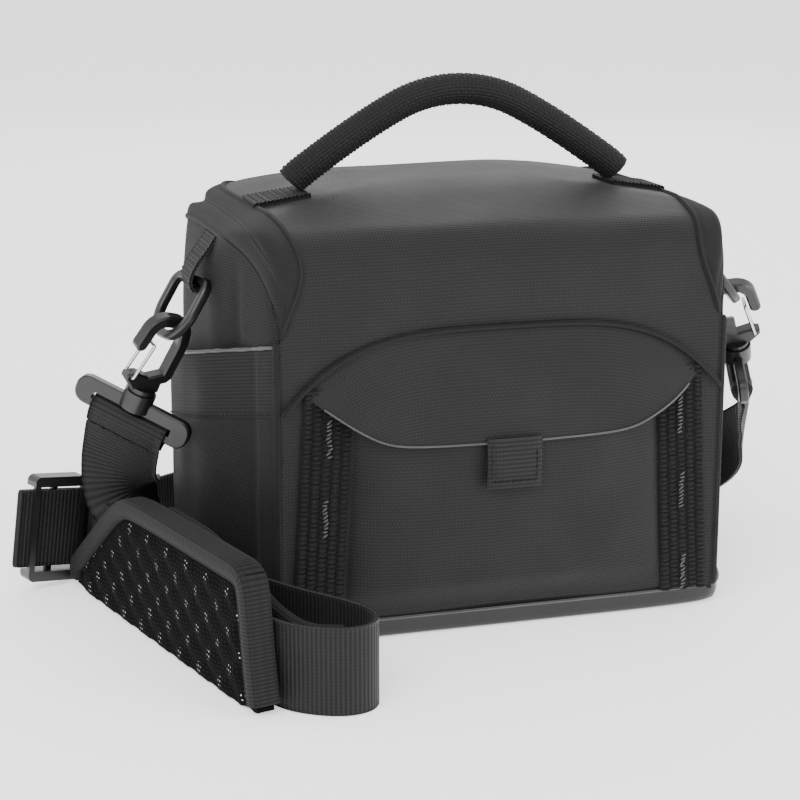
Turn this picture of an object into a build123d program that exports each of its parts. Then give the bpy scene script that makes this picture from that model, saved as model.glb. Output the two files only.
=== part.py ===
"""A small shoulder camera bag: padded body, front-hinged lid, clips, and a strap laid on the floor.

+X is the viewer's right, the front faces -Y, +Z is up. The origin is the middle of the bag's base.
All sizes are millimetres.
"""

import os

from build123d import *

os.makedirs("parts", exist_ok=True)

# Bag body
FRONT_Y = -75.0  # front face
BACK_Y = 78.0  # back face
FRONT_HALF = 104.0  # half width at the front corners
SIDE_HALF = 123.0  # half width of the body at its widest, without the side pockets
BACK_HALF = 113.0  # half width of the flat back
CROWN = 196.0  # top of the lid
LID_HALF = 101.0  # half width of the lid
LID_EDGE_Z = 184.0  # lower edge of the lid at the back
SHOULDER_Z = 189.0  # height of the lid's side edges
CROWN_HALF = 45.0  # half width of the flat middle of the lid
WALL_HALF = 124.0  # half width between the side walls, below the shoulders

# Layers
FABRIC = 2.0
FOAM = 7.0
BOARD = 3.0
GAP = 0.3  # clear space between pieces that move past each other
FAR = 400.0  # longer than anything here, for cutting

# Lid hinge, at the foot of the lid's front
HINGE_Y = -77.0
HINGE_Z = 150.0

# Base
BASE_BAND = 9.0
FLOOR_TOP = FABRIC + BOARD + 6.0
WALL_TOP = 166.0

# Zipper round the sides and back of the lid
TAPE_SPLIT = 108.2  # half width of the tape that lifts with the lid
TAPE_SPLIT_Z = 176.0  # where the back run of the zipper splits
TAPE_FOOT_Z = 168.0  # lower edge of the tape along the back
COIL_THICK = 1.3
PULLER_X = 9.0  # the two sliders meet at the middle of the back
PULLER_SIZE = (11.0, 5.0, 8.0)
PULL_TAB = (5.0, 1.4, 24.0)

# Front pocket and flap
POCKET_HALF = 72.5
POCKET_Y = -83.0
POCKET_MOUTH = 112.0
FLAP_HINGE = (-85.0, 118.0)  # y and z of the flap's fold
FLAP_FOOT = 91.0
FLAP_HALF = 93.0
FLAP_FOOT_HALF = 60.0
ARCH_TOP = 141.0
ARCH_FOOT = 107.0
TAB_WIDTH = 26.0
TAB_FOOT = 70.0
STRIP_IN = 74.0
STRIP_WIDTH = 25.0
STRIP_TOP = 119.0

# Side pockets
POCKET_OUT = 131.0
HEM_HEIGHT = 31.0
HEM_FRONT_Z = 138.0
HEM_SLOPE = 0.22

# Handle
GRIP_RADIUS = 6.75
GRIP_WEB = 27.0
GRIP_PATH = ((-80, 200.9), (-44, 225.5), (0, 248.5), (44, 225.5), (80, 200.9))
GRIP_BENDS = (80, 70, 80)

# D-rings, in their own plane: bar at the top, bow below
RING_WIRE = 2.25
RING_WIDTH = 32.0
RING_DROP = 28.7
RING_BAR = (126.9, 0.0, 156.0)  # middle of the bar on the right side
RING_TURN = 0.26  # how far the bar turns out of line with the side, as a sine
RING_LEAN = {"left": (17.0, 0.0, -25.6), "right": (20.0, 0.0, -25.0)}  # from bar to bow, on the right side
RING_WEB = 22.0

# Clips: crossbar, swivelling hook and wire gate, from the crossbar's centre along the clip's axis
CLIP_REACH = 42.0  # crossbar to the ring's bow
CROSSBAR = (59.0, 14.0, 5.0)
BAR_SLOT = (41.0, 3.6)
SLOT_W = -1.0  # slot's centre below the crossbar's centre line
SOCKET_RADIUS = 7.5
SOCKET_TOP = 11.0
STEM_RADIUS = 3.0
RUNNING = 0.05
HOOK_THICK = 6.5
HOOK_BAR = 5.6
EYE_HALF = 9.4
EYE_TOP = 49.8
GATE_PIVOT_W = 19.0
GATE_TOP_W = 37.0
GATE_WIRE = 0.8

# Strap
WEB_WIDTH = 38.0
WEB_THICK = 1.8
LEAF_HEIGHT = 60.0
CUSHION_THICK = 9.0
COVER_THICK = 6.0
SLIDER_SIZE = (28.0, 52.0, 9.0)
SLIDER_RAIL = 5.0
SLIDER_BAR = 3.0


def save(piece, name):
    """Names a finished piece and writes it."""
    piece.part.label = name
    export_step(piece.part, f"parts/{name}.step")


def box_zone(x0, x1, y0, y1, z0, z1):
    """A plain block between two corners."""
    with BuildPart(Plane((x0, y0, z0))) as zone:
        Box(x1 - x0, y1 - y0, z1 - z0, align=(Align.MIN, Align.MIN, Align.MIN))
    return zone.part


def side_zone(*points):
    """A prism right across the bag from an outline in Y and Z."""
    with BuildPart() as zone:
        with BuildSketch(Plane.YZ):
            with BuildLine():
                Polyline(*points, close=True)
            make_face()
        extrude(amount=FAR, both=True)
    return zone.part


def carve(block, keep=(), drop=()):
    """A block cut down to the zones it keeps and without those it drops."""
    with BuildPart() as piece:
        add(block)
        for zone in keep:
            add(zone, mode=Mode.INTERSECT)
        for zone in drop:
            add(zone, mode=Mode.SUBTRACT)
    return piece


def inset_corners(points, inset):
    """The corners of an anticlockwise outline whose sides are all moved inwards by the inset."""
    moved = []
    for index, corner in enumerate(points):
        here = Vector(*corner)
        before = (here - Vector(*points[index - 1])).normalized()
        after = (Vector(*points[(index + 1) % len(points)]) - here).normalized()
        bisector = Vector(-before.Y - after.Y, before.X + after.X).normalized()
        reach = inset / bisector.dot(Vector(-before.Y, before.X))
        moved.append(here + bisector * reach)
    return moved


def rounded_outline(plane, corners, radii, inset):
    """A sketch of an outline with rounded corners, moved inwards by the inset."""
    with BuildSketch(plane) as sketch:
        with BuildLine():
            FilletPolyline(
                *inset_corners(corners, inset),
                radius=[max(radius - inset, 1) for radius in radii],
                close=True,
            )
        make_face()
    return sketch.sketch


def mirrored(points):
    """The points, then their mirror images in reverse order."""
    return [*points, *[(-x, y) for x, y in reversed(points)]]


# The plan and the face stand a little outside the side outline, which alone makes the flat faces
PLAN_RIGHT = [(FRONT_HALF, FRONT_Y - 1), (121, -15), (SIDE_HALF, 50), (BACK_HALF, BACK_Y + 1)]
PLAN_RADII = [9, 60, 22, 12]
SIDE_CORNERS = [(FRONT_Y, 0), (BACK_Y, 0), (BACK_Y, CROWN), (-5, CROWN), (FRONT_Y, 181)]
SIDE_RADII = [9, 9, 10, 190, 24]
FACE_RIGHT = [(WALL_HALF, -1), (WALL_HALF, 152), (118, 180), (LID_HALF, SHOULDER_Z), (CROWN_HALF, CROWN + 1)]
FACE_RADII = [9, 20, 12, 12, 560]


def bag_form(inset):
    """The closed bag as one block, with every face moved inwards by the inset."""
    plan = rounded_outline(Plane.XY, mirrored(PLAN_RIGHT), PLAN_RADII + PLAN_RADII[::-1], inset)
    side = rounded_outline(Plane.YZ, SIDE_CORNERS, SIDE_RADII, inset)
    face = rounded_outline(Plane.XZ, mirrored(FACE_RIGHT), FACE_RADII + FACE_RADII[::-1], inset)
    with BuildPart() as form:
        extrude(plan, amount=FAR, both=True)
        extrude(side, amount=FAR, both=True, mode=Mode.INTERSECT)
        extrude(face, amount=FAR, both=True, mode=Mode.INTERSECT)
    return form.part


outer_form = bag_form(0)
lining_form = bag_form(FABRIC)
inner_form = bag_form(FABRIC + FOAM)

# Zones that several pieces share
all_round = dict(x0=-FAR, x1=FAR, y0=-FAR, y1=FAR)
lid_zone = carve(
    side_zone(
        (-FAR, HINGE_Z),
        (-60, HINGE_Z),
        (-60, 172),
        (-50, LID_EDGE_Z),
        (FAR, LID_EDGE_Z),
        (FAR, FAR),
        (-FAR, FAR),
    ),
    keep=[box_zone(-LID_HALF, LID_HALF, -FAR, FAR, 0, FAR)],
).part
lid_clearance = carve(
    side_zone(
        (-FAR, HINGE_Z - GAP),
        (-60 + GAP, HINGE_Z - GAP),
        (-60 + GAP, 172),
        (-50, LID_EDGE_Z - GAP),
        (FAR, LID_EDGE_Z - GAP),
        (FAR, FAR),
        (-FAR, FAR),
    ),
    keep=[box_zone(-LID_HALF - GAP, LID_HALF + GAP, -FAR, FAR, 0, FAR)],
).part
above_side_seam = side_zone(
    (-FAR, 141),
    (-75, 141),
    (-70, 158),
    (-55, 171),
    (-35, 176.7),
    (FAR, 178),
    (FAR, FAR),
    (-FAR, FAR),
)
above_back_seam = box_zone(-BACK_HALF, BACK_HALF, 60, FAR, TAPE_FOOT_Z, FAR)
base_zone = box_zone(z0=-FAR, z1=BASE_BAND, **all_round)
front_zone = box_zone(-FRONT_HALF + 1, FRONT_HALF - 1, -FAR, 0, -FAR, HINGE_Z - GAP)

# Lid: coated skin over a foam stiffener, with its half of the zipper tape
lid_shell = carve(outer_form, keep=[lid_zone], drop=[lining_form])
save(lid_shell, "lid_shell")

lid_foam = carve(lining_form, keep=[lid_zone], drop=[inner_form])
save(lid_foam, "lid_foam")

with BuildPart() as tape_band:
    add(outer_form)
    add(lining_form, mode=Mode.SUBTRACT)
    add(lid_clearance, mode=Mode.SUBTRACT)

lid_tape_zone = box_zone(-TAPE_SPLIT, TAPE_SPLIT, -FAR, FAR, 152, FAR)
below_back_split = box_zone(-FAR, FAR, 60, FAR, -FAR, TAPE_SPLIT_Z)
lid_tape = carve(tape_band.part, keep=[lid_tape_zone, above_side_seam], drop=[below_back_split])
lid_tape_back_zone = box_zone(-LID_HALF, LID_HALF, 60, FAR, TAPE_SPLIT_Z, FAR)
with BuildPart() as zipper_tape_lid:
    add(lid_tape.part)
    add(carve(tape_band.part, keep=[lid_tape_back_zone]).part)
save(zipper_tape_lid, "zipper_tape_lid")

lid_tape_clearance = box_zone(-TAPE_SPLIT - GAP, TAPE_SPLIT + GAP, -FAR, FAR, 152 - GAP, FAR)
back_tape_clearance = box_zone(-FAR, FAR, 60, FAR, TAPE_SPLIT_Z - GAP, FAR)
low_back = carve(tape_band.part, keep=[above_back_seam], drop=[back_tape_clearance])
below_tape = side_zone((-FAR, -FAR), (-60, -FAR), (-60, FAR), (-FAR, FAR))
side_band = carve(
    tape_band.part,
    keep=[above_side_seam],
    drop=[carve(lid_tape_clearance, drop=[below_back_split]).part, above_back_seam, below_tape],
)
front_run = box_zone(-LID_HALF, LID_HALF, -FAR, 0, -FAR, FAR)
with BuildPart() as zipper_tape_body:
    add(carve(side_band.part, drop=[front_run]).part)
    add(low_back.part)
save(zipper_tape_body, "zipper_tape_body")

# Body: four fabric walls and a coated base, over a board and foam
seam_zones = [above_side_seam, above_back_seam]
walls = carve(outer_form, drop=[lining_form, lid_clearance, base_zone])
back_zone = box_zone(-BACK_HALF + 5, BACK_HALF - 5, 0, FAR, -FAR, TAPE_FOOT_Z)

front_panel = carve(walls.part, keep=[front_zone])
save(front_panel, "front_panel")

back_panel = carve(walls.part, keep=[back_zone])
save(back_panel, "back_panel")

for side, sign in (("left", -1), ("right", 1)):
    half = box_zone(min(0, sign * FAR), max(0, sign * FAR), -FAR, FAR, -FAR, FAR)
    side_panel = carve(walls.part, keep=[half], drop=[front_zone, back_zone, *seam_zones])
    save(side_panel, f"{side}_side_panel")

base_panel = carve(outer_form, keep=[base_zone], drop=[lining_form])
save(base_panel, "base_panel")

base_board = carve(lining_form, keep=[box_zone(z0=0, z1=FABRIC + BOARD, **all_round)])
save(base_board, "base_board")

foam_floor = carve(lining_form, keep=[box_zone(z0=FABRIC + BOARD, z1=FLOOR_TOP, **all_round)])
save(foam_floor, "foam_floor")

wall_zone = box_zone(z0=FLOOR_TOP, z1=WALL_TOP, **all_round)
lid_under_zone = carve(lid_clearance, drop=[bag_form(FABRIC + FOAM + GAP)]).part
foam_ring = carve(lining_form, keep=[wall_zone], drop=[inner_form, lid_under_zone])
FOAM_FRONT_Y = FRONT_Y + FABRIC + FOAM
FOAM_BACK_Y = BACK_Y - FABRIC - FOAM
foam_zones = {
    "foam_front": box_zone(-FAR, FAR, -FAR, FOAM_FRONT_Y, 0, FAR),
    "foam_back": box_zone(-FAR, FAR, FOAM_BACK_Y, FAR, 0, FAR),
    "foam_left": box_zone(-FAR, 0, FOAM_FRONT_Y, FOAM_BACK_Y, 0, FAR),
    "foam_right": box_zone(0, FAR, FOAM_FRONT_Y, FOAM_BACK_Y, 0, FAR),
}
for foam_name, foam_zone in foam_zones.items():
    foam_wall = carve(foam_ring.part, keep=[foam_zone])
    save(foam_wall, foam_name)

# Dividers: padded boards with hook tape at both ends, free to be moved sideways
DIVIDER_X = 37.0
DIVIDER_THICK = 6.0
DIVIDER_TOP = 148.0
for side, sign in (("left", -1), ("right", 1)):
    middle = sign * DIVIDER_X
    with BuildPart() as divider:
        with BuildSketch(Plane.YZ.offset(middle - DIVIDER_THICK / 2)):
            with BuildLine():
                FilletPolyline(
                    (FOAM_FRONT_Y + GAP, FLOOR_TOP + GAP),
                    (FOAM_BACK_Y - GAP, FLOOR_TOP + GAP),
                    (FOAM_BACK_Y - GAP, DIVIDER_TOP),
                    (FOAM_FRONT_Y + GAP, DIVIDER_TOP),
                    radius=14,
                    close=True,
                )
            make_face()
        extrude(amount=DIVIDER_THICK)
    save(divider, f"divider_{side}")

# Front pocket: a low pouch sewn over the front panel
with BuildPart() as front_pocket:
    add(box_zone(-POCKET_HALF, POCKET_HALF, POCKET_Y, FRONT_Y, 12, POCKET_MOUTH))
    inside = box_zone(-POCKET_HALF + 2, POCKET_HALF - 2, POCKET_Y + FABRIC, FRONT_Y, 14, FAR)
    add(inside, mode=Mode.SUBTRACT)
save(front_pocket, "front_pocket")

# Yoke: the fixed upper part of the flap, from the arched seam down to the flap's fold
YOKE_FOOT = FLAP_HINGE[1] + 1.6
with BuildPart() as flap_yoke:
    with BuildSketch(Plane.XZ):
        with BuildLine():
            Polyline((-98, YOKE_FOOT), (98, YOKE_FOOT))
            FilletPolyline(
                (-98, YOKE_FOOT), (-60, ARCH_TOP - 4), (0, ARCH_TOP), (60, ARCH_TOP - 4), (98, YOKE_FOOT),
                radius=(60, 200, 60),
            )
        make_face()
    extrude(amount=FAR, both=True)
    add(
        side_zone((FRONT_Y, YOKE_FOOT), (-84.3, YOKE_FOOT), (-76.5, ARCH_TOP), (FRONT_Y, ARCH_TOP)),
        mode=Mode.INTERSECT,
    )
save(flap_yoke, "flap_yoke")

with BuildPart() as flap_piping:
    with BuildLine(Plane.XZ.offset(-FRONT_Y + 1.4)) as piping_path:
        FilletPolyline(
            (-103, ARCH_FOOT),
            (-99.5, YOKE_FOOT + 1.5),
            (-60.5, ARCH_TOP - 2),
            (0, ARCH_TOP + 2),
            (60.5, ARCH_TOP - 2),
            (99.5, YOKE_FOOT + 1.5),
            (103, ARCH_FOOT),
            radius=(8, 60, 200, 60, 8),
        )
    with BuildSketch(Plane(piping_path.line @ 0, z_dir=piping_path.line % 0)):
        Circle(1.3)
    sweep()
save(flap_piping, "flap_piping")

# Flap: the free lower part, which folds up about the line of its upper edge
with BuildPart() as front_flap:
    with BuildSketch(Plane.XZ.offset(-FLAP_HINGE[0] - FABRIC / 2)):
        with BuildLine():
            FilletPolyline(
                (-FLAP_HALF, FLAP_HINGE[1] - GAP),
                (-FLAP_FOOT_HALF, FLAP_FOOT),
                (FLAP_FOOT_HALF, FLAP_FOOT),
                (FLAP_HALF, FLAP_HINGE[1] - GAP),
                radius=16,
            )
            Line((-FLAP_HALF, FLAP_HINGE[1] - GAP), (FLAP_HALF, FLAP_HINGE[1] - GAP))
        make_face()
    extrude(amount=FABRIC)
save(front_flap, "front_flap")

with BuildPart() as pull_tab:
    add(box_zone(-TAB_WIDTH / 2, TAB_WIDTH / 2, FLAP_HINGE[0] - 1, FLAP_HINGE[0] + 1, TAB_FOOT, FLAP_FOOT))
save(pull_tab, "pull_tab")

# Webbing ladders beside the pocket
for side, sign in (("left", -1), ("right", 1)):
    with BuildPart() as ladder:
        with BuildSketch(Plane.XZ.offset(-FRONT_Y)):
            with BuildLine():
                Polyline(
                    (sign * STRIP_IN, BASE_BAND + 1),
                    (sign * (STRIP_IN + STRIP_WIDTH), BASE_BAND + 1),
                    (sign * (STRIP_IN + STRIP_WIDTH - 3), STRIP_TOP),
                    (sign * (STRIP_IN - 1), STRIP_TOP),
                    close=True,
                )
            make_face()
        extrude(amount=FABRIC)
    save(ladder, f"webbing_ladder_{side}")

# Side pockets: a pouch and its ribbed hem, with a mouth that slopes down to the back
HEM_BACK_Z = HEM_FRONT_Z - HEM_SLOPE * (BACK_Y - FRONT_Y)
below_mouth = side_zone((FRONT_Y, 0), (BACK_Y, 0), (BACK_Y, HEM_BACK_Z), (FRONT_Y, HEM_FRONT_Z))
below_hem = side_zone(
    (FRONT_Y, 0), (BACK_Y, 0), (BACK_Y, HEM_BACK_Z - HEM_HEIGHT), (FRONT_Y, HEM_FRONT_Z - HEM_HEIGHT)
)


def side_pocket_block(sign, inset, floor):
    """The outer shape of a side pocket, open to the bag's side, moved in by the inset."""
    with BuildPart() as block:
        with BuildSketch(Plane.XY.offset(floor)):
            with BuildLine():
                FilletPolyline(
                    (0, -68),
                    (sign * 104, -68),
                    (sign * 128, -22),
                    (sign * POCKET_OUT, 10),
                    (sign * POCKET_OUT, 48),
                    (sign * 119, 68),
                    (0, 68),
                    radius=(8, 60, 80, 18, 8),
                )
                Line((0, -68), (0, 68))
            make_face()
            offset(amount=-inset)
        extrude(amount=FAR)
    return block.part


for side, sign in (("left", -1), ("right", 1)):
    pouch = side_pocket_block(sign, 0, 5)
    hollow = side_pocket_block(sign, FABRIC, 7)
    side_pocket = carve(pouch, keep=[below_hem], drop=[outer_form, hollow])
    save(side_pocket, f"side_pocket_{side}")
    side_hem = carve(pouch, keep=[below_mouth], drop=[outer_form, hollow, below_hem])
    save(side_hem, f"side_hem_{side}")

# Handle: webbing sewn round a tube, and its flat ends on the lid
with BuildPart() as handle_grip:
    with BuildLine(Plane.XZ) as grip_path:
        FilletPolyline(*GRIP_PATH, radius=GRIP_BENDS)
    with BuildSketch(Plane(grip_path.line @ 0, z_dir=grip_path.line % 0)):
        Circle(GRIP_RADIUS)
    sweep()
save(handle_grip, "handle_grip")

raised_form = bag_form(-FABRIC)
for side, sign in (("left", -1), ("right", 1)):
    end_zone = box_zone(
        min(sign * 74, sign * LID_HALF), max(sign * 74, sign * LID_HALF), -GRIP_WEB / 2, GRIP_WEB / 2, 150, FAR
    )
    handle_end = carve(raised_form, keep=[end_zone], drop=[outer_form])
    save(handle_end, f"handle_end_{side}")

# Zipper coil along the back run, and the two sliders with their pull tabs
with BuildPart() as zipper_coil:
    add(
        box_zone(
            -BACK_HALF + 14, BACK_HALF - 14, BACK_Y, BACK_Y + COIL_THICK, TAPE_SPLIT_Z - 2.5, TAPE_SPLIT_Z - GAP
        )
    )
save(zipper_coil, "zipper_coil")

puller_width, puller_depth, puller_height = PULLER_SIZE
pull_width, pull_thick, pull_length = PULL_TAB
PULLER_FACE = BACK_Y + COIL_THICK + GAP
PULL_PIN_Y = PULLER_FACE + puller_depth + 3.2
for side, sign in (("left", -1), ("right", 1)):
    centre = sign * PULLER_X
    with BuildPart() as zipper_slider:
        with BuildSketch(Plane.XZ.offset(-PULLER_FACE)):
            with Locations((centre, TAPE_SPLIT_Z)):
                RectangleRounded(puller_width, puller_height, 2)
        extrude(amount=-puller_depth)
        with BuildSketch(Plane.YZ.offset(centre)):
            with Locations((PULL_PIN_Y, TAPE_SPLIT_Z)):
                Circle(1.0)
        extrude(amount=4, both=True)
        for ear in (-4.6, 3.4):
            add(
                box_zone(
                    centre + ear,
                    centre + ear + 1.2,
                    PULLER_FACE + puller_depth - 0.5,
                    PULL_PIN_Y + 1.6,
                    TAPE_SPLIT_Z - 2,
                    TAPE_SPLIT_Z + 2,
                )
            )
    save(zipper_slider, f"zipper_slider_{side}")

    with BuildPart() as zipper_pull:
        with BuildSketch(Plane.XZ.offset(-PULL_PIN_Y + pull_thick)):
            with Locations((centre, TAPE_SPLIT_Z + 2.2 - pull_length / 2)):
                RectangleRounded(pull_width, pull_length, 2)
        extrude(amount=-2 * pull_thick)
        with BuildSketch(Plane.YZ.offset(centre)):
            with Locations((PULL_PIN_Y, TAPE_SPLIT_Z)):
                Circle(1.0 + RUNNING)
        extrude(amount=FAR, both=True, mode=Mode.SUBTRACT)
    save(zipper_pull, f"zipper_pull_{side}")


# Rings and clips. Each side has a frame for its ring and one for its clip.
def ring_frame(side, sign):
    """The ring's plane: X along the bar, Y from the bow up to the bar."""
    bar_line = Vector(-sign * RING_TURN, -1, 0).normalized()
    outwards, _, downwards = RING_LEAN[side]
    upwards = Vector(-sign * outwards, 0, -downwards).normalized()
    upwards = (upwards - bar_line * upwards.dot(bar_line)).normalized()
    origin = Vector(sign * RING_BAR[0], RING_BAR[1], RING_BAR[2])
    return Plane(origin=origin, x_dir=bar_line, z_dir=bar_line.cross(upwards))


def clip_frame(origin, clip_axis, across):
    """A frame with Y along the clip's axis and X as near as it can be to the across line."""
    up_line = Vector(*clip_axis).normalized()
    width_line = Vector(*across)
    width_line = (width_line - up_line * width_line.dot(up_line)).normalized()
    return Plane(origin=origin, x_dir=width_line, z_dir=width_line.cross(up_line))


web_ends = {}
CLIP_AXIS = {"left": (0.335, -0.25, 0.908), "right": (-0.28, -0.41, 0.865)}
CROSSBAR_LINE = {"left": (0.775, -0.41, -0.487), "right": (-0.2, -0.78, -0.57)}


def clip_frames(side, sign):
    """The frames of one side's ring, crossbar and hook, which meet at the ring's bow."""
    ring_plane = ring_frame(side, sign)
    bow_centre = ring_plane.from_local_coords(Vector(0, -RING_DROP, 0))
    bar_centre = bow_centre - Vector(*CLIP_AXIS[side]).normalized() * CLIP_REACH
    bar_plane = clip_frame(bar_centre, CLIP_AXIS[side], CROSSBAR_LINE[side])
    hook_plane = clip_frame(bar_centre, CLIP_AXIS[side], (1, -sign * RING_TURN, 0))
    return ring_plane, bar_plane, hook_plane


for side, sign in (("left", -1), ("right", 1)):
    ring_plane, bar_plane, hook_plane = clip_frames(side, sign)
    bar_centre = bar_plane.origin
    axis_line = bar_plane.y_dir
    with BuildPart() as d_ring:
        with BuildSketch(ring_plane):
            with BuildLine():
                FilletPolyline(
                    (-RING_WIDTH / 2, 0),
                    (RING_WIDTH / 2, 0),
                    (RING_WIDTH / 2, -RING_DROP),
                    (-RING_WIDTH / 2, -RING_DROP),
                    radius=(5, 5, 14, 14),
                    close=True,
                )
            make_face()
            offset(amount=RING_WIRE)
            with BuildLine():
                FilletPolyline(
                    (-RING_WIDTH / 2 + RING_WIRE, -RING_WIRE),
                    (RING_WIDTH / 2 - RING_WIRE, -RING_WIRE),
                    (RING_WIDTH / 2 - RING_WIRE, -RING_DROP + RING_WIRE),
                    (-RING_WIDTH / 2 + RING_WIRE, -RING_DROP + RING_WIRE),
                    radius=(2.75, 2.75, 11.75, 11.75),
                    close=True,
                )
            make_face(mode=Mode.SUBTRACT)
        extrude(amount=RING_WIRE, both=True)
        fillet(d_ring.edges(), radius=1.5)
    save(d_ring, f"d_ring_{side}")

    # Tab: webbing down the shoulder, looped round the ring's bar
    loop_outer = RING_WIRE + FABRIC + 0.5
    with BuildPart() as ring_tab:
        add(raised_form)
        reach = sorted((sign * 108.6, sign * FAR))
        add(
            box_zone(reach[0], reach[1], -RING_WEB / 2, RING_WEB / 2, RING_BAR[2] + 2, FAR),
            mode=Mode.INTERSECT,
        )
        with BuildSketch(Plane.XZ.offset(-RING_WEB / 2)):
            with Locations((sign * RING_BAR[0], RING_BAR[2])):
                Circle(loop_outer)
        extrude(amount=RING_WEB)
        add(outer_form, mode=Mode.SUBTRACT)
        with BuildSketch(Plane(ring_plane.origin, z_dir=ring_plane.x_dir)):
            Circle(RING_WIRE + 1.5 * GAP)
        extrude(amount=FAR, both=True, mode=Mode.SUBTRACT)
    save(ring_tab, f"ring_tab_{side}")

    through_bar = Axis(bar_plane.origin, bar_plane.z_dir)
    through_hook = Axis(hook_plane.origin, hook_plane.z_dir)
    bar_length, bar_height, bar_thick = CROSSBAR
    slot_length, slot_height = BAR_SLOT
    with BuildPart() as clip_bar:
        with BuildSketch(bar_plane):
            RectangleRounded(bar_length, bar_height, 6)
            with Locations((0, SLOT_W)):
                Rectangle(slot_length, slot_height, mode=Mode.SUBTRACT)
        extrude(amount=bar_thick / 2, both=True)
        chamfer(clip_bar.faces().sort_by(through_bar)[-1].outer_wire().edges(), length=0.8)
        chamfer(clip_bar.faces().sort_by(through_bar)[0].outer_wire().edges(), length=0.8)
        socket_plane = Plane(bar_centre + axis_line * 2, z_dir=axis_line)
        with BuildSketch(socket_plane):
            Circle(SOCKET_RADIUS)
        extrude(amount=SOCKET_TOP - 2)
        with BuildSketch(socket_plane):
            Circle(STEM_RADIUS + RUNNING)
        extrude(amount=FAR, mode=Mode.SUBTRACT)
    save(clip_bar, f"clip_bar_{side}")

    # Hook: stem in the socket, lug on the outer side, spine on the inner side and curled nose
    gate_u = sign * EYE_HALF
    spine_u = -gate_u
    with BuildPart() as hook:
        with BuildSketch(hook_plane):
            with BuildLine():
                FilletPolyline(
                    (gate_u * 0.2, 16.5),
                    (spine_u * 0.9, 20.5),
                    (spine_u * 1.1, 38),
                    (spine_u * 0.9, EYE_TOP - 0.5),
                    (gate_u * 0.75, EYE_TOP - 0.5),
                    (gate_u * 1.1, 35.5),
                    radius=(2, 12, 7, 8),
                )
                offset(amount=HOOK_BAR / 2, side=Side.BOTH)
            make_face()
            with BuildLine():
                Polyline(
                    (-gate_u * 0.75, 12.5),
                    (-gate_u * 0.75, 18),
                    (gate_u * 0.75, GATE_PIVOT_W + 2.4),
                    (gate_u * 1.3, GATE_PIVOT_W + 1),
                    (gate_u * 1.3, GATE_PIVOT_W - 1.5),
                    (gate_u * 0.75, 12.5),
                    close=True,
                )
            make_face()
        extrude(amount=HOOK_THICK / 2, both=True)
        chamfer(hook.faces().sort_by(through_hook)[-1].outer_wire().edges(), length=0.9)
        chamfer(hook.faces().sort_by(through_hook)[0].outer_wire().edges(), length=0.9)
        with BuildSketch(Plane(bar_centre + axis_line * (SOCKET_TOP + GAP), z_dir=axis_line)):
            Circle(SOCKET_RADIUS - 1)
        extrude(amount=2.2)
        with BuildSketch(Plane(bar_centre + axis_line * (2 + GAP), z_dir=axis_line)):
            Circle(STEM_RADIUS)
        extrude(amount=SOCKET_TOP)
        with BuildSketch(hook_plane):
            with Locations((gate_u, GATE_PIVOT_W)):
                Circle(GATE_WIRE + RUNNING)
        extrude(amount=FAR, both=True, mode=Mode.SUBTRACT)
    save(hook, f"hook_{side}")

    # Gate: one bent wire, its feet in the lug and its top just inside the nose
    leg = HOOK_THICK / 2 + GATE_WIRE + GAP
    with BuildPart() as gate:
        with BuildLine(hook_plane) as gate_path:
            FilletPolyline(
                (gate_u, GATE_PIVOT_W, 1),
                (gate_u, GATE_PIVOT_W, leg),
                (gate_u * 0.55, GATE_TOP_W, leg),
                (gate_u * 0.55, GATE_TOP_W, -leg),
                (gate_u, GATE_PIVOT_W, -leg),
                (gate_u, GATE_PIVOT_W, -1),
                radius=1,
            )
        with BuildSketch(Plane(gate_path.line @ 0, z_dir=gate_path.line % 0)):
            Circle(GATE_WIRE)
        sweep()
    save(gate, f"gate_{side}")

    # Sewn end of the strap, looped round the crossbar's lower rail
    rail_top = SLOT_W - slot_height / 2 + RUNNING
    rail_foot = -bar_height / 2 - RUNNING
    rail_half = bar_thick / 2 + RUNNING
    loop_plane = Plane(bar_centre - bar_plane.x_dir * WEB_WIDTH / 2, x_dir=bar_plane.y_dir, z_dir=bar_plane.x_dir)
    with BuildPart() as web_loop:
        with BuildSketch(loop_plane):
            with BuildLine():
                Polyline(
                    (rail_top + WEB_THICK, -rail_half - WEB_THICK),
                    (rail_top + WEB_THICK, rail_half + WEB_THICK),
                    (rail_foot, rail_half + WEB_THICK),
                    (rail_foot - 3 * WEB_THICK, WEB_THICK),
                    (rail_foot - 3 * WEB_THICK, -WEB_THICK),
                    (rail_foot, -rail_half - WEB_THICK),
                    close=True,
                )
            make_face()
            with BuildLine():
                Polyline(
                    (rail_top, -rail_half),
                    (rail_top, rail_half),
                    (rail_foot, rail_half),
                    (rail_foot, -rail_half),
                    close=True,
                )
            make_face(mode=Mode.SUBTRACT)
        extrude(amount=WEB_WIDTH)
    save(web_loop, f"web_loop_{side}")
    web_ends[side] = tuple(bar_centre - axis_line * (bar_height / 2 + 4 * WEB_THICK))

# Shoulder pad: a mesh cushion and a smooth cover, both standing on the floor beside the bag
PAD_START = Vector(-183, 40, 0)
PAD_LINE = Vector(0.258, -0.966, 0).normalized()
PAD_NORMAL = Vector(-PAD_LINE.Y, PAD_LINE.X, 0)
CUSHION_LENGTH = 186.0
CUSHION_FOOT = 194.0
pad_plane = Plane(PAD_START, x_dir=PAD_LINE, z_dir=-PAD_NORMAL)


def pad_point(along, across, height=0.0):
    """A place given along and across the pad's line."""
    return PAD_START + PAD_LINE * along + PAD_NORMAL * across + Vector(0, 0, height)


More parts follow.
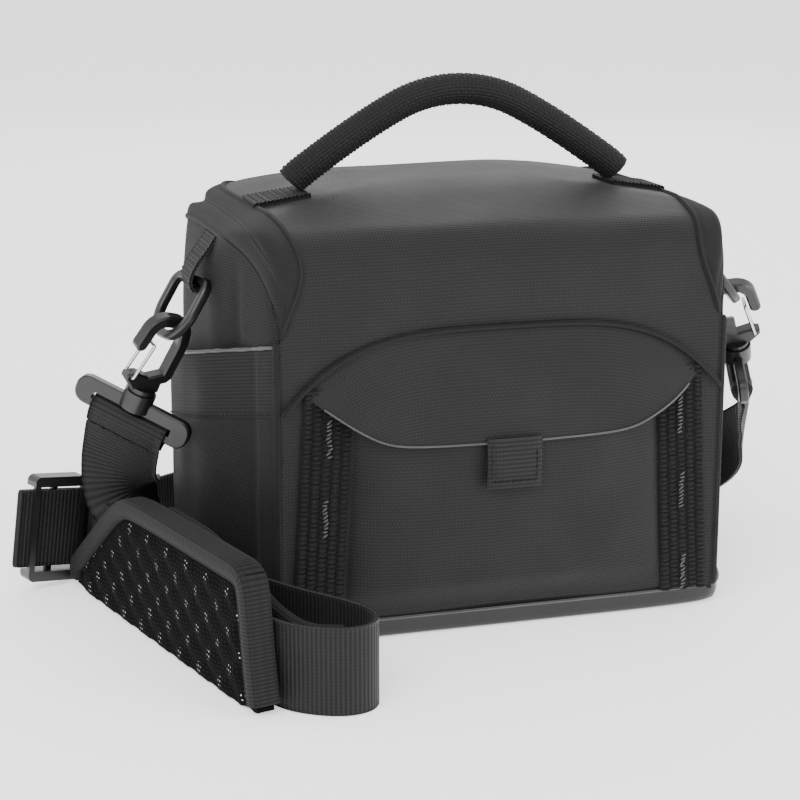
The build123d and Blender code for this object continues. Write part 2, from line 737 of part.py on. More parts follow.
with BuildPart() as pad_cushion:
    with BuildSketch(pad_plane):
        with BuildLine():
            FilletPolyline(
                (2, 0.3),
                (CUSHION_FOOT, 0.3),
                (CUSHION_LENGTH, LEAF_HEIGHT),
                (62, LEAF_HEIGHT),
                (2, 12),
                radius=(5, 6, 6, 20, 4),
                close=True,
            )
        make_face()
    extrude(amount=-CUSHION_THICK)
save(pad_cushion, "pad_cushion")

with BuildPart() as pad_cover:
    with BuildSketch(Plane.XY.offset(0.3)):
        with BuildLine():
            FilletPolyline(
                pad_point(78, 17),
                pad_point(160, 17),
                pad_point(186, 27),
                pad_point(193, 43),
                radius=(40, 14),
            )
            offset(amount=COVER_THICK / 2, side=Side.BOTH)
        make_face()
    extrude(amount=LEAF_HEIGHT - 4)
    with BuildSketch(pad_plane):
        with BuildLine():
            FilletPolyline(
                (60, 0),
                (230, 0),
                (230, 18),
                (184, 40),
                (120, LEAF_HEIGHT - 2),
                (60, LEAF_HEIGHT),
                radius=(1, 1, 4, 30, 40, 1),
                close=True,
            )
        make_face()
    extrude(amount=-80, mode=Mode.INTERSECT)
save(pad_cover, "pad_cover")


def strap_sections(stations):
    """The strap's cross-section at each station, a place and the direction of the strap's width."""
    sections = []
    places = [Vector(*place) for place, _ in stations]
    for index, (_, width) in enumerate(stations):
        ahead = places[min(index + 1, len(places) - 1)]
        behind = places[max(index - 1, 0)]
        across = Vector(*width).normalized()
        run = ahead - behind
        run = (run - across * run.dot(across)).normalized()
        with BuildSketch(Plane(places[index], x_dir=across, z_dir=run)) as section:
            Rectangle(WEB_WIDTH, WEB_THICK)
        sections.append(section.sketch)
    return sections


# Adjuster: rails above and below the doubled strap, two bars before it and one behind
SLIDER_CENTRE = Vector(-191, 43, 29)
SLIDE_LINE = Vector(0.921, 0.357, -0.139).normalized()
SLIDER_UP = (Vector(0, 0, 1) - SLIDE_LINE * SLIDE_LINE.Z).normalized()
slider_plane = Plane(SLIDER_CENTRE, x_dir=SLIDE_LINE, z_dir=SLIDE_LINE.cross(SLIDER_UP))
slider_length, slider_height, slider_thick = SLIDER_SIZE
with BuildPart() as strap_slider:
    with BuildSketch(slider_plane):
        RectangleRounded(slider_length, slider_height, 3)
        Rectangle(slider_length + 1, slider_height - 2 * SLIDER_RAIL, mode=Mode.SUBTRACT)
    extrude(amount=slider_thick / 2, both=True)
    bar_gap = WEB_THICK + GAP
    with BuildSketch(slider_plane.offset(bar_gap)):
        with Locations((-slider_length / 2 + SLIDER_BAR / 2, 0), (slider_length / 2 - SLIDER_BAR / 2, 0)):
            Rectangle(SLIDER_BAR, slider_height - SLIDER_RAIL)
    extrude(amount=slider_thick / 2 - bar_gap)
    with BuildSketch(slider_plane.offset(-bar_gap)):
        Rectangle(SLIDER_BAR, slider_height - SLIDER_RAIL)
    extrude(amount=bar_gap - slider_thick / 2)
save(strap_slider, "strap_slider")

# Strap, left run: down from the left clip, along the bag, round the end of the cover
ON_EDGE = (0, 0, -1)
EDGE_Z = 19.4


def pad_station(along, across, height, width=(0, 0, -1)):
    """A strap station in the pad's frame: its place and its width direction."""
    lean = PAD_LINE * width[0] + PAD_NORMAL * width[1] + Vector(0, 0, width[2])
    return tuple(pad_point(along, across, height)), tuple(lean)


def adjuster_station(along, layer):
    """A station of the doubled strap through the adjuster: layer 1 is the outer one, -1 the inner."""
    return tuple(SLIDER_CENTRE + SLIDE_LINE * along + slider_plane.z_dir * layer), tuple(-SLIDER_UP)


left_run = [
    (web_ends["left"], CROSSBAR_LINE["left"]),
    ((-161.5, 17, 71), (0.8, -0.43, -0.41)),
    ((-161.5, 23, 60), (0.82, -0.3, -0.48)),
    ((-159.5, 26, 49), (0.86, -0.05, -0.5)),
    ((-153, 25.3, 40), (0.82, 0.22, -0.53)),
    ((-148.6, 19.8, 33), (0.7, 0.36, -0.61)),
    ((-145.5, 10.4, 27), (0.5, 0.32, -0.8)),
    ((-142.5, -3, 22.5), (0.27, 0.17, -0.95)),
    ((-138, -20, 19.6), (0.08, 0.03, -1)),
    pad_station(90, 27, EDGE_Z),
    pad_station(110, 28, EDGE_Z),
    pad_station(135, 32, EDGE_Z),
    pad_station(160, 40, EDGE_Z),
    pad_station(182, 50, EDGE_Z),
]
bow = [
    pad_station(196, 54, EDGE_Z),
    pad_station(206, 51.5, EDGE_Z),
    pad_station(212, 45, EDGE_Z),
    pad_station(213, 37.5, EDGE_Z),
    pad_station(210.5, 30, EDGE_Z),
    pad_station(203, 21, EDGE_Z),
    pad_station(192, 14, EDGE_Z),
    pad_station(175, 11.5, EDGE_Z),
]
inner_run = [
    pad_station(120, 11.5, EDGE_Z + 1.5),
    pad_station(60, 11.5, EDGE_Z + 4),
    pad_station(14, 11.5, 25),
    pad_station(3, 12, 25.8),
    ((-171.6, 48.0, 26.2), tuple(-SLIDER_UP)),
    adjuster_station(17, 1),
    adjuster_station(-19, 1),
]
back_run = [
    adjuster_station(-19, -1),
    adjuster_station(19, -1),
    ((-160, 57, 23), ON_EDGE),
    ((-147, 68, EDGE_Z), ON_EDGE),
    ((-130, 85, EDGE_Z), ON_EDGE),
    ((-105, 97, EDGE_Z), ON_EDGE),
    ((-60, 103, EDGE_Z), ON_EDGE),
    ((0, 105, EDGE_Z), ON_EDGE),
    ((60, 102, EDGE_Z), ON_EDGE),
    ((105, 93, EDGE_Z), ON_EDGE),
]
right_run = [
    ((128, 82, EDGE_Z), ON_EDGE),
    ((150, 70, 23), (-0.05, -0.2, -0.98)),
    ((167, 58, 34), (-0.15, -0.35, -0.92)),
    ((176, 46, 48), (-0.3, -0.5, -0.81)),
    ((174, 35, 62), (-0.45, -0.62, -0.64)),
    ((164.5, 25, 74), (-0.38, -0.72, -0.57)),
    (web_ends["right"], CROSSBAR_LINE["right"]),
]

# Each piece of the strap starts at the section where the last one ended
near_sections = strap_sections(left_run + bow + inner_run)
far_sections = strap_sections(back_run + right_run)
bow_start = len(left_run) - 1
inner_start = len(left_run) + len(bow) - 1
right_start = len(back_run) - 1
strap_pieces = {
    "strap_left": near_sections[: bow_start + 1],
    "strap_bow": near_sections[bow_start : inner_start + 1],
    "strap_inner": near_sections[inner_start:],
    "strap_back": far_sections[: right_start + 1],
    "strap_right": far_sections[right_start:],
}
for strap_name, sections in strap_pieces.items():
    with BuildPart() as strap_piece:
        for section, next_section in zip(sections, sections[1:]):
            loft([section, next_section], ruled=True)
    save(strap_piece, strap_name)
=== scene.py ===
"""Looks of the small camera bag: fabric skins, webbing, zipper, handle, clips and the strap on the floor.

Lengths here are millimetres in the CAD's own frame (+X right, front at -Y, +Z up); meshes are made in metres.
"""

import math

import bpy
import numpy as np
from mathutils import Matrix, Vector, noise
from mathutils.bvhtree import BVHTree


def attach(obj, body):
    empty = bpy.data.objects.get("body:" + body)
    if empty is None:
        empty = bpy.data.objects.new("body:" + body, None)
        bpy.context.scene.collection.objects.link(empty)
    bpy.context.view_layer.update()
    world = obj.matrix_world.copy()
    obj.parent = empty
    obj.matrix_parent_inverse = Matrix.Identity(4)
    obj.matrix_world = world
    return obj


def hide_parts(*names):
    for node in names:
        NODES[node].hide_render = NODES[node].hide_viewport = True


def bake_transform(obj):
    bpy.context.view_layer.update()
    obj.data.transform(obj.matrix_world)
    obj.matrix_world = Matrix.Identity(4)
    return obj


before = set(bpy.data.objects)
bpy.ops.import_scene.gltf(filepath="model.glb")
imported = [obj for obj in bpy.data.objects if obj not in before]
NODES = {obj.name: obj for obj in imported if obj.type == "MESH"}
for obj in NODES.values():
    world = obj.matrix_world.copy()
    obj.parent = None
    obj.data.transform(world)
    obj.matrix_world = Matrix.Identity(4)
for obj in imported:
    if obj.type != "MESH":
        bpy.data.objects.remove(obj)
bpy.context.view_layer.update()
MM = 0.001
SIDES = (("left", -1), ("right", 1))
BAG_MIDDLE = np.array((0.0, 0.0, 100.0))


# ---------------------------------------------------------------- camera, floor and light
TARGET = Vector((-27.95, 0.0, 91.41))
CAMERA_REACH = 960.9
CAMERA_TURN = 0.287
CAMERA_DIP = 0.247
LENS = 89.73


def link(thing):
    bpy.context.scene.collection.objects.link(thing)
    return thing


def add_camera():
    forward = Vector(
        (
            math.sin(CAMERA_TURN) * math.cos(CAMERA_DIP),
            math.cos(CAMERA_TURN) * math.cos(CAMERA_DIP),
            -math.sin(CAMERA_DIP),
        )
    )
    data = bpy.data.cameras.new("camera")
    data.lens = LENS
    data.sensor_width = 36
    camera = link(bpy.data.objects.new("camera", data))
    camera.location = (TARGET - forward * CAMERA_REACH) * MM
    camera.rotation_euler = forward.to_track_quat("-Z", "Y").to_euler()
    bpy.context.scene.camera = camera


def add_floor():
    bpy.ops.mesh.primitive_plane_add(size=40, location=(0, 0, 0))
    floor = bpy.context.object
    floor.name = "floor"
    paint = bpy.data.materials.new("floor_paint")
    paint.use_nodes = True
    shader = paint.node_tree.nodes["Principled BSDF"]
    shader.inputs["Base Color"].default_value = (0.97, 0.97, 0.97, 1)
    shader.inputs["Roughness"].default_value = 0.7
    shader.inputs["Emission Color"].default_value = (1, 1, 1, 1)
    shader.inputs["Emission Strength"].default_value = 0.8
    floor.data.materials.append(paint)


def add_light(name, place, size, power):
    data = bpy.data.lights.new(name, "AREA")
    data.size = size
    data.energy = power
    light = link(bpy.data.objects.new(name, data))
    light.location = place
    light.rotation_euler = (Vector((0, 0, 0.1)) - Vector(place)).to_track_quat("-Z", "Y").to_euler()


def add_lights():
    add_light("key", (-1.1, -1.3, 1.5), 1.2, 30)
    add_light("fill", (1.5, -1.4, 0.9), 1.4, 26)
    add_light("top", (0.1, 0.3, 1.9), 1.5, 5)
    add_light("back", (0.6, 1.7, 1.1), 1.2, 8)
    world = bpy.data.worlds.new("studio")
    world.use_nodes = True
    world.node_tree.nodes["Background"].inputs["Color"].default_value = (1.0, 1.0, 1.0, 1)
    world.node_tree.nodes["Background"].inputs["Strength"].default_value = 1.25
    bpy.context.scene.world = world


# ---------------------------------------------------------------- materials
class Paint:
    """A Principled material whose weave is worked out from each piece's own lay, in millimetres."""

    def __init__(self, name, roughness, sheen=0.0, metallic=0.0, coat=0.0, specular=0.5):
        self.material = bpy.data.materials.new(name)
        self.material.use_nodes = True
        self.tree = self.material.node_tree
        self.shader = self.tree.nodes["Principled BSDF"]
        levels = {"Roughness": roughness, "Metallic": metallic, "Specular IOR Level": specular}
        levels.update({"Sheen Weight": sheen, "Sheen Roughness": 0.45})
        levels.update({"Coat Weight": coat, "Coat Roughness": 0.3})
        for socket, level in levels.items():
            self.shader.inputs[socket].default_value = level

    def math(self, kind, first, second=0.0, third=0.0):
        node = self.tree.nodes.new("ShaderNodeMath")
        node.operation = kind
        for socket, value in zip(node.inputs, (first, second, third)):
            if isinstance(value, (int, float)):
                socket.default_value = value
            else:
                self.tree.links.new(value, socket)
        return node.outputs[0]

    def lay(self):
        """Millimetres along and across the piece, from the attribute its mesh carries."""
        source = self.tree.nodes.new("ShaderNodeAttribute")
        source.attribute_name = "lay"
        split = self.tree.nodes.new("ShaderNodeSeparateXYZ")
        self.tree.links.new(source.outputs["Vector"], split.inputs[0])
        return split.outputs[0], split.outputs[1]

    def place(self):
        """Two slanting measures in millimetres from object coordinates, for CAD pieces without a lay."""
        source = self.tree.nodes.new("ShaderNodeTexCoord")
        split = self.tree.nodes.new("ShaderNodeSeparateXYZ")
        self.tree.links.new(source.outputs["Object"], split.inputs[0])
        level = self.math("ADD", split.outputs[0], split.outputs[1])
        height = self.math("ADD", split.outputs[2], self.math("MULTIPLY", split.outputs[1], 0.6))
        return self.math("MULTIPLY", level, 1 / MM), self.math("MULTIPLY", height, 1 / MM)

    def wave(self, distance, pitch):
        """A smooth ridge from 0 to 1 and back, once every pitch."""
        turned = self.math("SINE", self.math("MULTIPLY", distance, 2 * math.pi / pitch))
        return self.math("MULTIPLY_ADD", turned, 0.5, 0.5)

    def cloudy(self, scale, detail=3.0):
        """Soft noise over the piece, for uneven dye and wear."""
        source = self.tree.nodes.new("ShaderNodeTexCoord")
        cloud = self.tree.nodes.new("ShaderNodeTexNoise")
        cloud.inputs["Scale"].default_value = scale
        cloud.inputs["Detail"].default_value = detail
        self.tree.links.new(source.outputs["Object"], cloud.inputs["Vector"])
        return cloud.outputs["Fac"]

    def colour(self, share, dark, light):
        """Base colour from a dark to a light grey, by a share from 0 to 1."""
        mix = self.tree.nodes.new("ShaderNodeMix")
        mix.data_type = "RGBA"
        mix.inputs["A"].default_value = (*dark, 1)
        mix.inputs["B"].default_value = (*light, 1)
        self.tree.links.new(share, mix.inputs["Factor"])
        self.tree.links.new(mix.outputs["Result"], self.shader.inputs["Base Color"])

    def bump(self, height, strength, depth):
        """Surface relief of a given depth in millimetres."""
        node = self.tree.nodes.new("ShaderNodeBump")
        node.inputs["Strength"].default_value = strength
        node.inputs["Distance"].default_value = depth * MM
        self.tree.links.new(height, node.inputs["Height"])
        self.tree.links.new(node.outputs["Normal"], self.shader.inputs["Normal"])

    def uneven_roughness(self, share, low, high):
        """Roughness that varies between two values."""
        roughness = self.math("MULTIPLY_ADD", share, high - low, low)
        self.tree.links.new(roughness, self.shader.inputs["Roughness"])


def grey(value):
    return (value, value, value * 1.03)


def woven(
    name, dark, light, pitch, depth,
    kind="plain", roughness=0.75, sheen=0.2, coat=0.0, specular=0.22, on_cad=False,
):
    """Cloth: plain weave, herringbone tape or ribbed webbing, with uneven dye, worn patches and painted shade
    in the thread valleys.
    """
    paint = Paint(name, roughness, sheen=sheen, coat=coat, specular=specular)
    across, along = paint.place() if on_cad else paint.lay()
    if kind == "herringbone":
        turn = paint.math("ABSOLUTE", paint.math("PINGPONG", along, 4.0))
        thread = paint.wave(paint.math("ADD", across, turn), pitch)
    elif kind == "webbing":
        beads = paint.math("MULTIPLY_ADD", paint.wave(across, pitch * 0.8), 0.35, 0.65)
        thread = paint.math("MULTIPLY", paint.wave(along, pitch), beads)
    else:
        offset = paint.math("MULTIPLY", paint.wave(along, pitch * 2), pitch * 0.5)
        weft = paint.wave(paint.math("ADD", across, offset), pitch)
        thread = paint.math("MULTIPLY", weft, paint.wave(along, pitch))
    worn = paint.cloudy(28.0)
    # The colour darkens where the thread height is low, which is painted shade in the weave's grooves; the
    # noise adds uneven dye and wear.
    share = paint.math("MULTIPLY_ADD", paint.math("SUBTRACT", worn, 0.5), 0.9, thread)
    groove_shade_and_dye = paint.math("MINIMUM", paint.math("MAXIMUM", share, 0.0), 1.0)
    paint.colour(groove_shade_and_dye, grey(dark), grey(light))
    paint.uneven_roughness(worn, roughness - 0.12, roughness + 0.1)
    paint.bump(thread, 0.9, depth)
    return paint.material


def moulded(name, shade, roughness):
    """Black moulded plastic: fine spark grain and slightly uneven gloss."""
    paint = Paint(name, roughness, coat=0.25)
    grain = paint.cloudy(2600.0, 2.0)
    smear = paint.cloudy(60.0)
    paint.colour(smear, grey(shade * 0.75), grey(shade * 1.3))
    paint.uneven_roughness(smear, roughness - 0.1, roughness + 0.12)
    paint.bump(grain, 0.25, 0.05)
    return paint.material


def metal(name, shade, roughness):
    """Drawn wire or enamelled metal with fine scratches."""
    paint = Paint(name, roughness, metallic=1.0)
    scratch = paint.cloudy(900.0, 6.0)
    paint.colour(scratch, grey(shade * 0.8), grey(shade))
    paint.uneven_roughness(scratch, roughness - 0.08, roughness + 0.12)
    paint.bump(scratch, 0.15, 0.02)
    return paint.material


M = {
    "coated": woven("coated_twill", 0.008, 0.021, 1.5, 0.16, roughness=0.58, sheen=0.04, specular=0.16),
    "gloss_band": woven("glossy_base_coat", 0.014, 0.02, 1.4, 0.03, roughness=0.34, sheen=0.02, coat=0.2),
    "weave": woven("coarse_weave", 0.003, 0.019, 1.25, 0.22, roughness=0.8, sheen=0.03),
    "webbing": woven("ribbed_webbing", 0.002, 0.012, 1.5, 0.3, kind="webbing", roughness=0.72, sheen=0.03),
    "fine_web": woven("fine_webbing", 0.002, 0.016, 2.0, 0.3, kind="webbing", roughness=0.6, sheen=0.05),
    "tape": woven(
        "zipper_tape_cloth", 0.003, 0.014, 1.3, 0.15, kind="herringbone", roughness=0.78, sheen=0.03
    ),
    "binding": woven("binding_tape", 0.003, 0.014, 1.6, 0.2, kind="webbing", roughness=0.78, sheen=0.03),
    "lining": woven("brushed_lining", 0.03, 0.055, 0.9, 0.05, roughness=0.9, sheen=0.2, on_cad=True),
    "thread": woven("stitch_thread", 0.008, 0.03, 0.5, 0.1, kind="webbing", roughness=0.65, sheen=0.03),
    "pale_thread": woven("pale_thread", 0.03, 0.15, 0.7, 0.2, kind="webbing", roughness=0.6),
    "seam": woven("silver_seam", 0.03, 0.1, 1.0, 0.08, kind="webbing", roughness=0.4),
    "plastic": moulded("black_satin_plastic", 0.006, 0.34),
    "wire": metal("polished_wire", 0.78, 0.2),
    "enamel": metal("black_enamel", 0.02, 0.35),
    "board": moulded("stiffener_board", 0.04, 0.6),
}


# ---------------------------------------------------------------- mesh tools
def make_object(name, verts, faces, material, lay=None):
    mesh = bpy.data.meshes.new(name)
    mesh.from_pydata((np.asarray(verts, float) * MM).tolist(), [], [list(map(int, f)) for f in faces])
    mesh.shade_smooth()
    if lay is not None:
        attribute = mesh.attributes.new("lay", "FLOAT_VECTOR", "POINT")
        full = np.zeros((len(verts), 3), np.float32)
        full[:, :2] = lay
        attribute.data.foreach_set("vector", full.ravel())
    mesh.materials.append(material)
    return link(bpy.data.objects.new(name, mesh))


def finish_piece(piece, body, slot, *nodes, smooth=0):
    """Gives a piece its smoothing and its body, and hides the CAD nodes it stands for. The slot is not used.
    """
    if smooth:
        level = piece.modifiers.new("smooth", "SUBSURF")
        level.levels = smooth
        level.render_levels = smooth
    if body:
        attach(piece, body)
    if nodes:
        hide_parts(*nodes)
    return piece


def unit(vectors):
    """Vectors brought to a length of 1."""
    return vectors / np.maximum(np.linalg.norm(vectors, axis=-1, keepdims=True), 1e-9)


def grid(down, across, place):
    """A grid of points, one for each value down and each value across."""
    return np.array([[place(a, b) for b in across] for a in down], float)


def facing(points, direction):
    """One direction for every point of a grid."""
    return np.tile(direction, (*points.shape[:2], 1))


def grid_normals(points, ring=False):
    """Unit normals of a grid of points, rows by columns."""
    if ring:
        across = np.roll(points, -1, 1) - np.roll(points, 1, 1)
    else:
        across = np.gradient(points, axis=1)
    down = np.gradient(points, axis=0)
    return unit(np.cross(across, down))


def outward(points, ring=False, middle=BAG_MIDDLE):
    """Grid normals that point away from a middle point."""
    normals = grid_normals(points, ring)
    if np.sum(normals * (points - middle)) < 0:
        normals = -normals
    return normals


def grid_lay(points):
    """Distances along the columns and rows of a grid, from its middle column and its first row."""
    step_u = np.linalg.norm(np.diff(points, axis=1), axis=2)
    step_v = np.linalg.norm(np.diff(points, axis=0), axis=2)
    u = np.concatenate([np.zeros((len(points), 1)), np.cumsum(step_u, 1)], 1)
    v = np.concatenate([np.zeros((1, points.shape[1])), np.cumsum(step_v, 0)], 0)
    middle = points.shape[1] // 2
    u = u - u[:, middle][:, None]
    if len(points) > 8 * points.shape[1]:
        v = np.repeat(v[:, middle][:, None], points.shape[1], 1)
    return np.stack([u, v], 2)


def quads(rows, columns, ring=False, start=0, flip=False):
    faces = []
    for r in range(rows - 1):
        for c in range(columns if ring else columns - 1):
            a = start + r * columns + c
            b = start + r * columns + (c + 1) % columns
            face = [a, b, b + columns, a + columns]
            faces.append(face[::-1] if flip else face)
    return faces


def sheet(name, points, material, thickness, ring=False, normals=None):
    """A cloth sheet of real thickness from a grid on its outer face, closed round its rim."""
    rows, columns = points.shape[:2]
    if normals is None:
        normals = outward(points, ring)
    inner = points - normals * thickness
    count = rows * columns
    same_way = np.sum(grid_normals(points, ring) * normals) > 0
    faces = quads(rows, columns, ring, 0, not same_way) + quads(rows, columns, ring, count, same_way)
    places = np.arange(count).reshape(rows, columns)
    if ring:
        edges = ([*places[0], places[0, 0]], [*places[-1], places[-1, 0]][::-1])
    else:
        edges = (places[::-1, 0], places[:, -1], places[-1, ::-1], places[0])
    for edge in edges:
        for a, b in zip(edge, edge[1:]):
            face = [a, b, b + count, a + count]
            faces.append(face if same_way else face[::-1])
    lay = grid_lay(points).reshape(-1, 2)
    verts = np.concatenate([points.reshape(-1, 3), inner.reshape(-1, 3)])
    return make_object(name, verts, faces, material, np.concatenate([lay, lay]))


def distances(points):
    """Distance of each point along a line of points."""
    return np.concatenate([[0], np.cumsum(np.linalg.norm(np.diff(points, axis=0), axis=1))])


def resample(points, step=None, count=None):
    """Points spaced evenly along a line of points."""
    points = np.asarray(points, float)
    lengths = distances(points)
    if count is None:
        count = max(2, int(round(lengths[-1] / step)) + 1)
    places = np.linspace(0, lengths[-1], count)
    return np.stack([np.interp(places, lengths, points[:, k]) for k in range(points.shape[1])], 1)


def rounded(points, passes=3):
    """A line of points with its corners cut, keeping its ends."""
    points = np.asarray(points, float)
    for _ in range(passes):
        quarter = points[:-1] * 0.75 + points[1:] * 0.25
        three_quarter = points[:-1] * 0.25 + points[1:] * 0.75
        middle = np.stack([quarter, three_quarter], 1).reshape(-1, points.shape[1])
        points = np.concatenate([points[:1], middle[1:-1], points[-1:]])
    return points


def path_frames(points, up=(0.0, 0.0, 1.0), ring=False):
    """Two side vectors at each point of a line, turning as little as they can."""
    if ring:
        tangents = unit(np.roll(points, -1, 0) - np.roll(points, 1, 0))
    else:
        tangents = unit(np.gradient(points, axis=0))
    side = np.cross(tangents[0], up)
    if np.linalg.norm(side) < 0.1:
        side = np.cross(tangents[0], (1.0, 0.0, 0.0))
    sides = []
    for tangent in tangents:
        side = unit(side - tangent * np.dot(side, tangent))
        sides.append(side)
    sides = np.array(sides)
    return sides, np.cross(tangents, sides)


END_SHARE = 0.72


def tube(name, points, radius, material, sides=10, relief=None, ring=False, up=(0.0, 0.0, 1.0)):
    """A cord along a line. Relief gives extra radius from the distance along and the turn round it."""
    points = np.asarray(points, float)
    side, top = path_frames(points, up, ring)
    along = distances(points)
    turns = np.linspace(0, 2 * math.pi, sides, endpoint=False)
    reach = np.full((len(points), sides), float(radius))
    if relief:
        reach = reach + np.array([[relief(d, t) for t in turns] for d in along])
    if not ring:
        reach[[0, -1]] *= END_SHARE
    out = side[:, None] * np.cos(turns)[:, None] + top[:, None] * np.sin(turns)[:, None]
    verts = (points[:, None] + out * reach[..., None]).reshape(-1, 3)
    rows = len(points)
    faces = quads(rows, sides, True, 0, True)
    last = (rows - 1) * sides
    if ring:
        for c in range(sides):
            faces.append([c, (c + 1) % sides, last + (c + 1) % sides, last + c])
    else:
        faces.append(list(range(sides)))
        faces.append([last + c for c in range(sides)][::-1])
    lay = np.stack([np.repeat(along, sides), np.tile(turns * radius, rows)], 1)
    return make_object(name, verts, faces, material, lay)


def join(name, pieces):
    """Several meshes as one piece."""
    bpy.ops.object.select_all(action="DESELECT")
    for piece in pieces:
        piece.select_set(True)
    bpy.context.view_layer.objects.active = pieces[0]
    bpy.ops.object.join()
    pieces[0].name = name
    return pieces[0]


def surface_tree(*names):
    """A search tree over the faces of CAD nodes, in millimetres."""
    verts, faces = [], []
    for name in names:
        mesh = NODES[name].data
        base = len(verts)
        verts.extend(Vector(v.co) / MM for v in mesh.vertices)
        faces.extend([base + i for i in p.vertices] for p in mesh.polygons)
    return BVHTree.FromPolygons(verts, faces)


RAY_START = 70.0
RAY_LENGTH = 133.0


def hit(tree, target, direction):
    """Where a ray from outside first meets the surface on its way past the target, or the nearest point."""
    target = Vector(target)
    direction = Vector(direction).normalized()
    found = tree.ray_cast(target + direction * RAY_START, -direction, RAY_LENGTH)[0]
    if found is None:
        found = tree.find_nearest(target)[0]
    return np.array(found)


def rough(point, size):
    """Smooth noise from -1 to 1 that is the same every run."""
    return noise.noise(Vector(point) / size)


def ease(value):
    """A share from 0 to 1 that starts and ends level."""
    value = min(max(value, 0.0), 1.0)
    return value * value * (3 - 2 * value)


def smoothed(points, passes):
    """A grid with its inner points drawn towards their four neighbours."""
    for _ in range(passes):
        beside = points[:-2, 1:-1] + points[2:, 1:-1] + points[1:-1, :-2] + points[1:-1, 2:]
        points[1:-1, 1:-1] = (points[1:-1, 1:-1] * 2 + beside) / 6
    return points


def slackened(points, amount):
    """Moves the points of a grid out along their normals by an amount per row, column and place."""
    normals = outward(points)
    rows, columns = points.shape[:2]
    moved = points.copy()
    for r in range(rows):
        for c in range(columns):
            moved[r, c] += normals[r, c] * amount(r / (rows - 1), c / (columns - 1), points[r, c])
    return moved


# ---------------------------------------------------------------- curves of the body, left half
FRONT_HALF = 104.0
FRONT_Y = -75.0
BASE_Z = 9.0
FRONT_TIP = (-104, -75, 141)
LID_EDGE = [
    FRONT_TIP,
    (-97, -76, 160),
    (-92, -75, 171),
    (-93.5, -60, 179),
    (-97, -30, 186),
    (-100, 10, 188.5),
    (-101, 50, 188),
    (-99, 68, 187),
    (-90, 77, 184),
    (-60, 78, 184),
    (0, 78, 184),
]
TAPE_MIDDLE = [
    FRONT_TIP,
    (-98.5, -76, 155),
    (-99.5, -70, 168),
    (-103, -50, 176.5),
    (-106.5, -20, 182),
    (-108.2, 20, 184),
    (-109, 55, 183.5),
    (-107, 70, 180),
    (-97, 78, 176),
    (-60, 78, 176),
    (0, 78, 176),
]
WALL_TOP = [
    FRONT_TIP,
    (-105.5, -73, 150),
    (-107, -70, 158),
    (-110, -55, 171),
    (-115, -35, 176.7),
    (-118, 0, 178.5),
    (-118.5, 40, 178),
    (-117, 62, 176),
    (-112, 75, 170),
    (-100, 78, 168),
    (-60, 78, 168),
    (0, 78, 168),
]
CURVE_STEPS = 90


def both_halves(half):
    """A curve from the left front tip, round the back, to the right front tip."""
    left = resample(rounded(half, 2), count=CURVE_STEPS)
    right = left[::-1][1:] * np.array((-1.0, 1.0, 1.0))
    return np.concatenate([left, right])


CORE_LOW = (-85.0, -55.0, -math.inf)
CORE_HIGH = (85.0, 60.0, 160.0)
PROBE = 20.0


def on_body(points, lift=0.0):
    """Points moved straight out from the bag's middle block onto its outer surface."""
    placed = []
    for point in points:
        direction = Vector(point - np.clip(point, CORE_LOW, CORE_HIGH)).normalized()
        found = body_tree.ray_cast(Vector(point) + direction * PROBE, -direction, 2 * PROBE)[0]
        if found is None:
            found = Vector(point)
        placed.append(np.array(found + direction * lift))
    return np.array(placed)


def eased_line(points, passes=6):
    """A line with its sharp turns evened out, keeping its ends. Rows of a grid are evened one by one."""
    points = points.copy()
    for _ in range(passes):
        points[..., 1:-1, :] = (points[..., :-2, :] + 2 * points[..., 1:-1, :] + points[..., 2:, :]) / 4
    return points


body_tree = surface_tree(
    "front_panel",
    "lid_shell",
    "left_side_panel",
    "right_side_panel",
    "back_panel",
    "zipper_tape_lid",
    "zipper_tape_body",
)
lid_curve = eased_line(on_body(both_halves(LID_EDGE)))
middle_curve = eased_line(on_body(both_halves(TAPE_MIDDLE)))
wall_curve = eased_line(on_body(both_halves(WALL_TOP)))


# ---------------------------------------------------------------- body skins
def fold_with_lid(piece):
    """Bakes a piece's placement into its mesh; the piece is not bent at the lid's hinge line."""
    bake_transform(piece)


def add_lid_skin():
    """One panel from the base, up the front and over the lid, its lid part starting above the hinge line."""
    tree = surface_tree("front_panel", "lid_shell")
    hinge_z = FRONT_TIP[2]
    back_x = -89.5
    columns = 61
    half = lid_curve[:CURVE_STEPS]
    start = int(np.argmax(half[:, 2] > hinge_z))
    back = start + int(np.argmax(half[start:, 0] > back_x))
    front_rows = [(-FRONT_HALF, FRONT_Y, z) for z in np.linspace(BASE_Z - 1, hinge_z - 1, 46)]
    rows = []
    for x, y, z in [*front_rows, *resample(half[start:back], 2.6)[1:]]:
        lift = ease((z - 160) / 18) * math.pi / 2
        direction = (0, -math.cos(lift), math.sin(lift))
        inside = (y + 3 * math.cos(lift), z - 3 * math.sin(lift))
        row = [hit(tree, (x * -share * 0.995, *inside), direction) for share in np.linspace(-1, 1, columns)]
        row[0] = (x, y, z)
        row[-1] = (-x, y, z)
        rows.append(row)
    rows.append(resample(lid_curve[back : len(lid_curve) - back], count=columns))

    def slack(down, across, point):
        return min(1, 6 * min(across, 1 - across)) * (0.7 + 0.8 * rough(point, 55))

    points = slackened(smoothed(np.array(rows), 2), slack)
    skin = sheet("lid_skin", points, M["coated"], 1.6)
    finish_piece(skin, None, "coated_fabric", "front_panel", "lid_shell", smooth=1)
    fold_with_lid(skin)


def wall_direction(point):
    """Level direction away from the middle of the bag, square to the nearest wall."""
    x, y = point[0] / 110, point[1] / 76
    direction = Vector((math.copysign(abs(x) ** 5, x), math.copysign(abs(y) ** 5, y), 0))
    return direction.normalized()


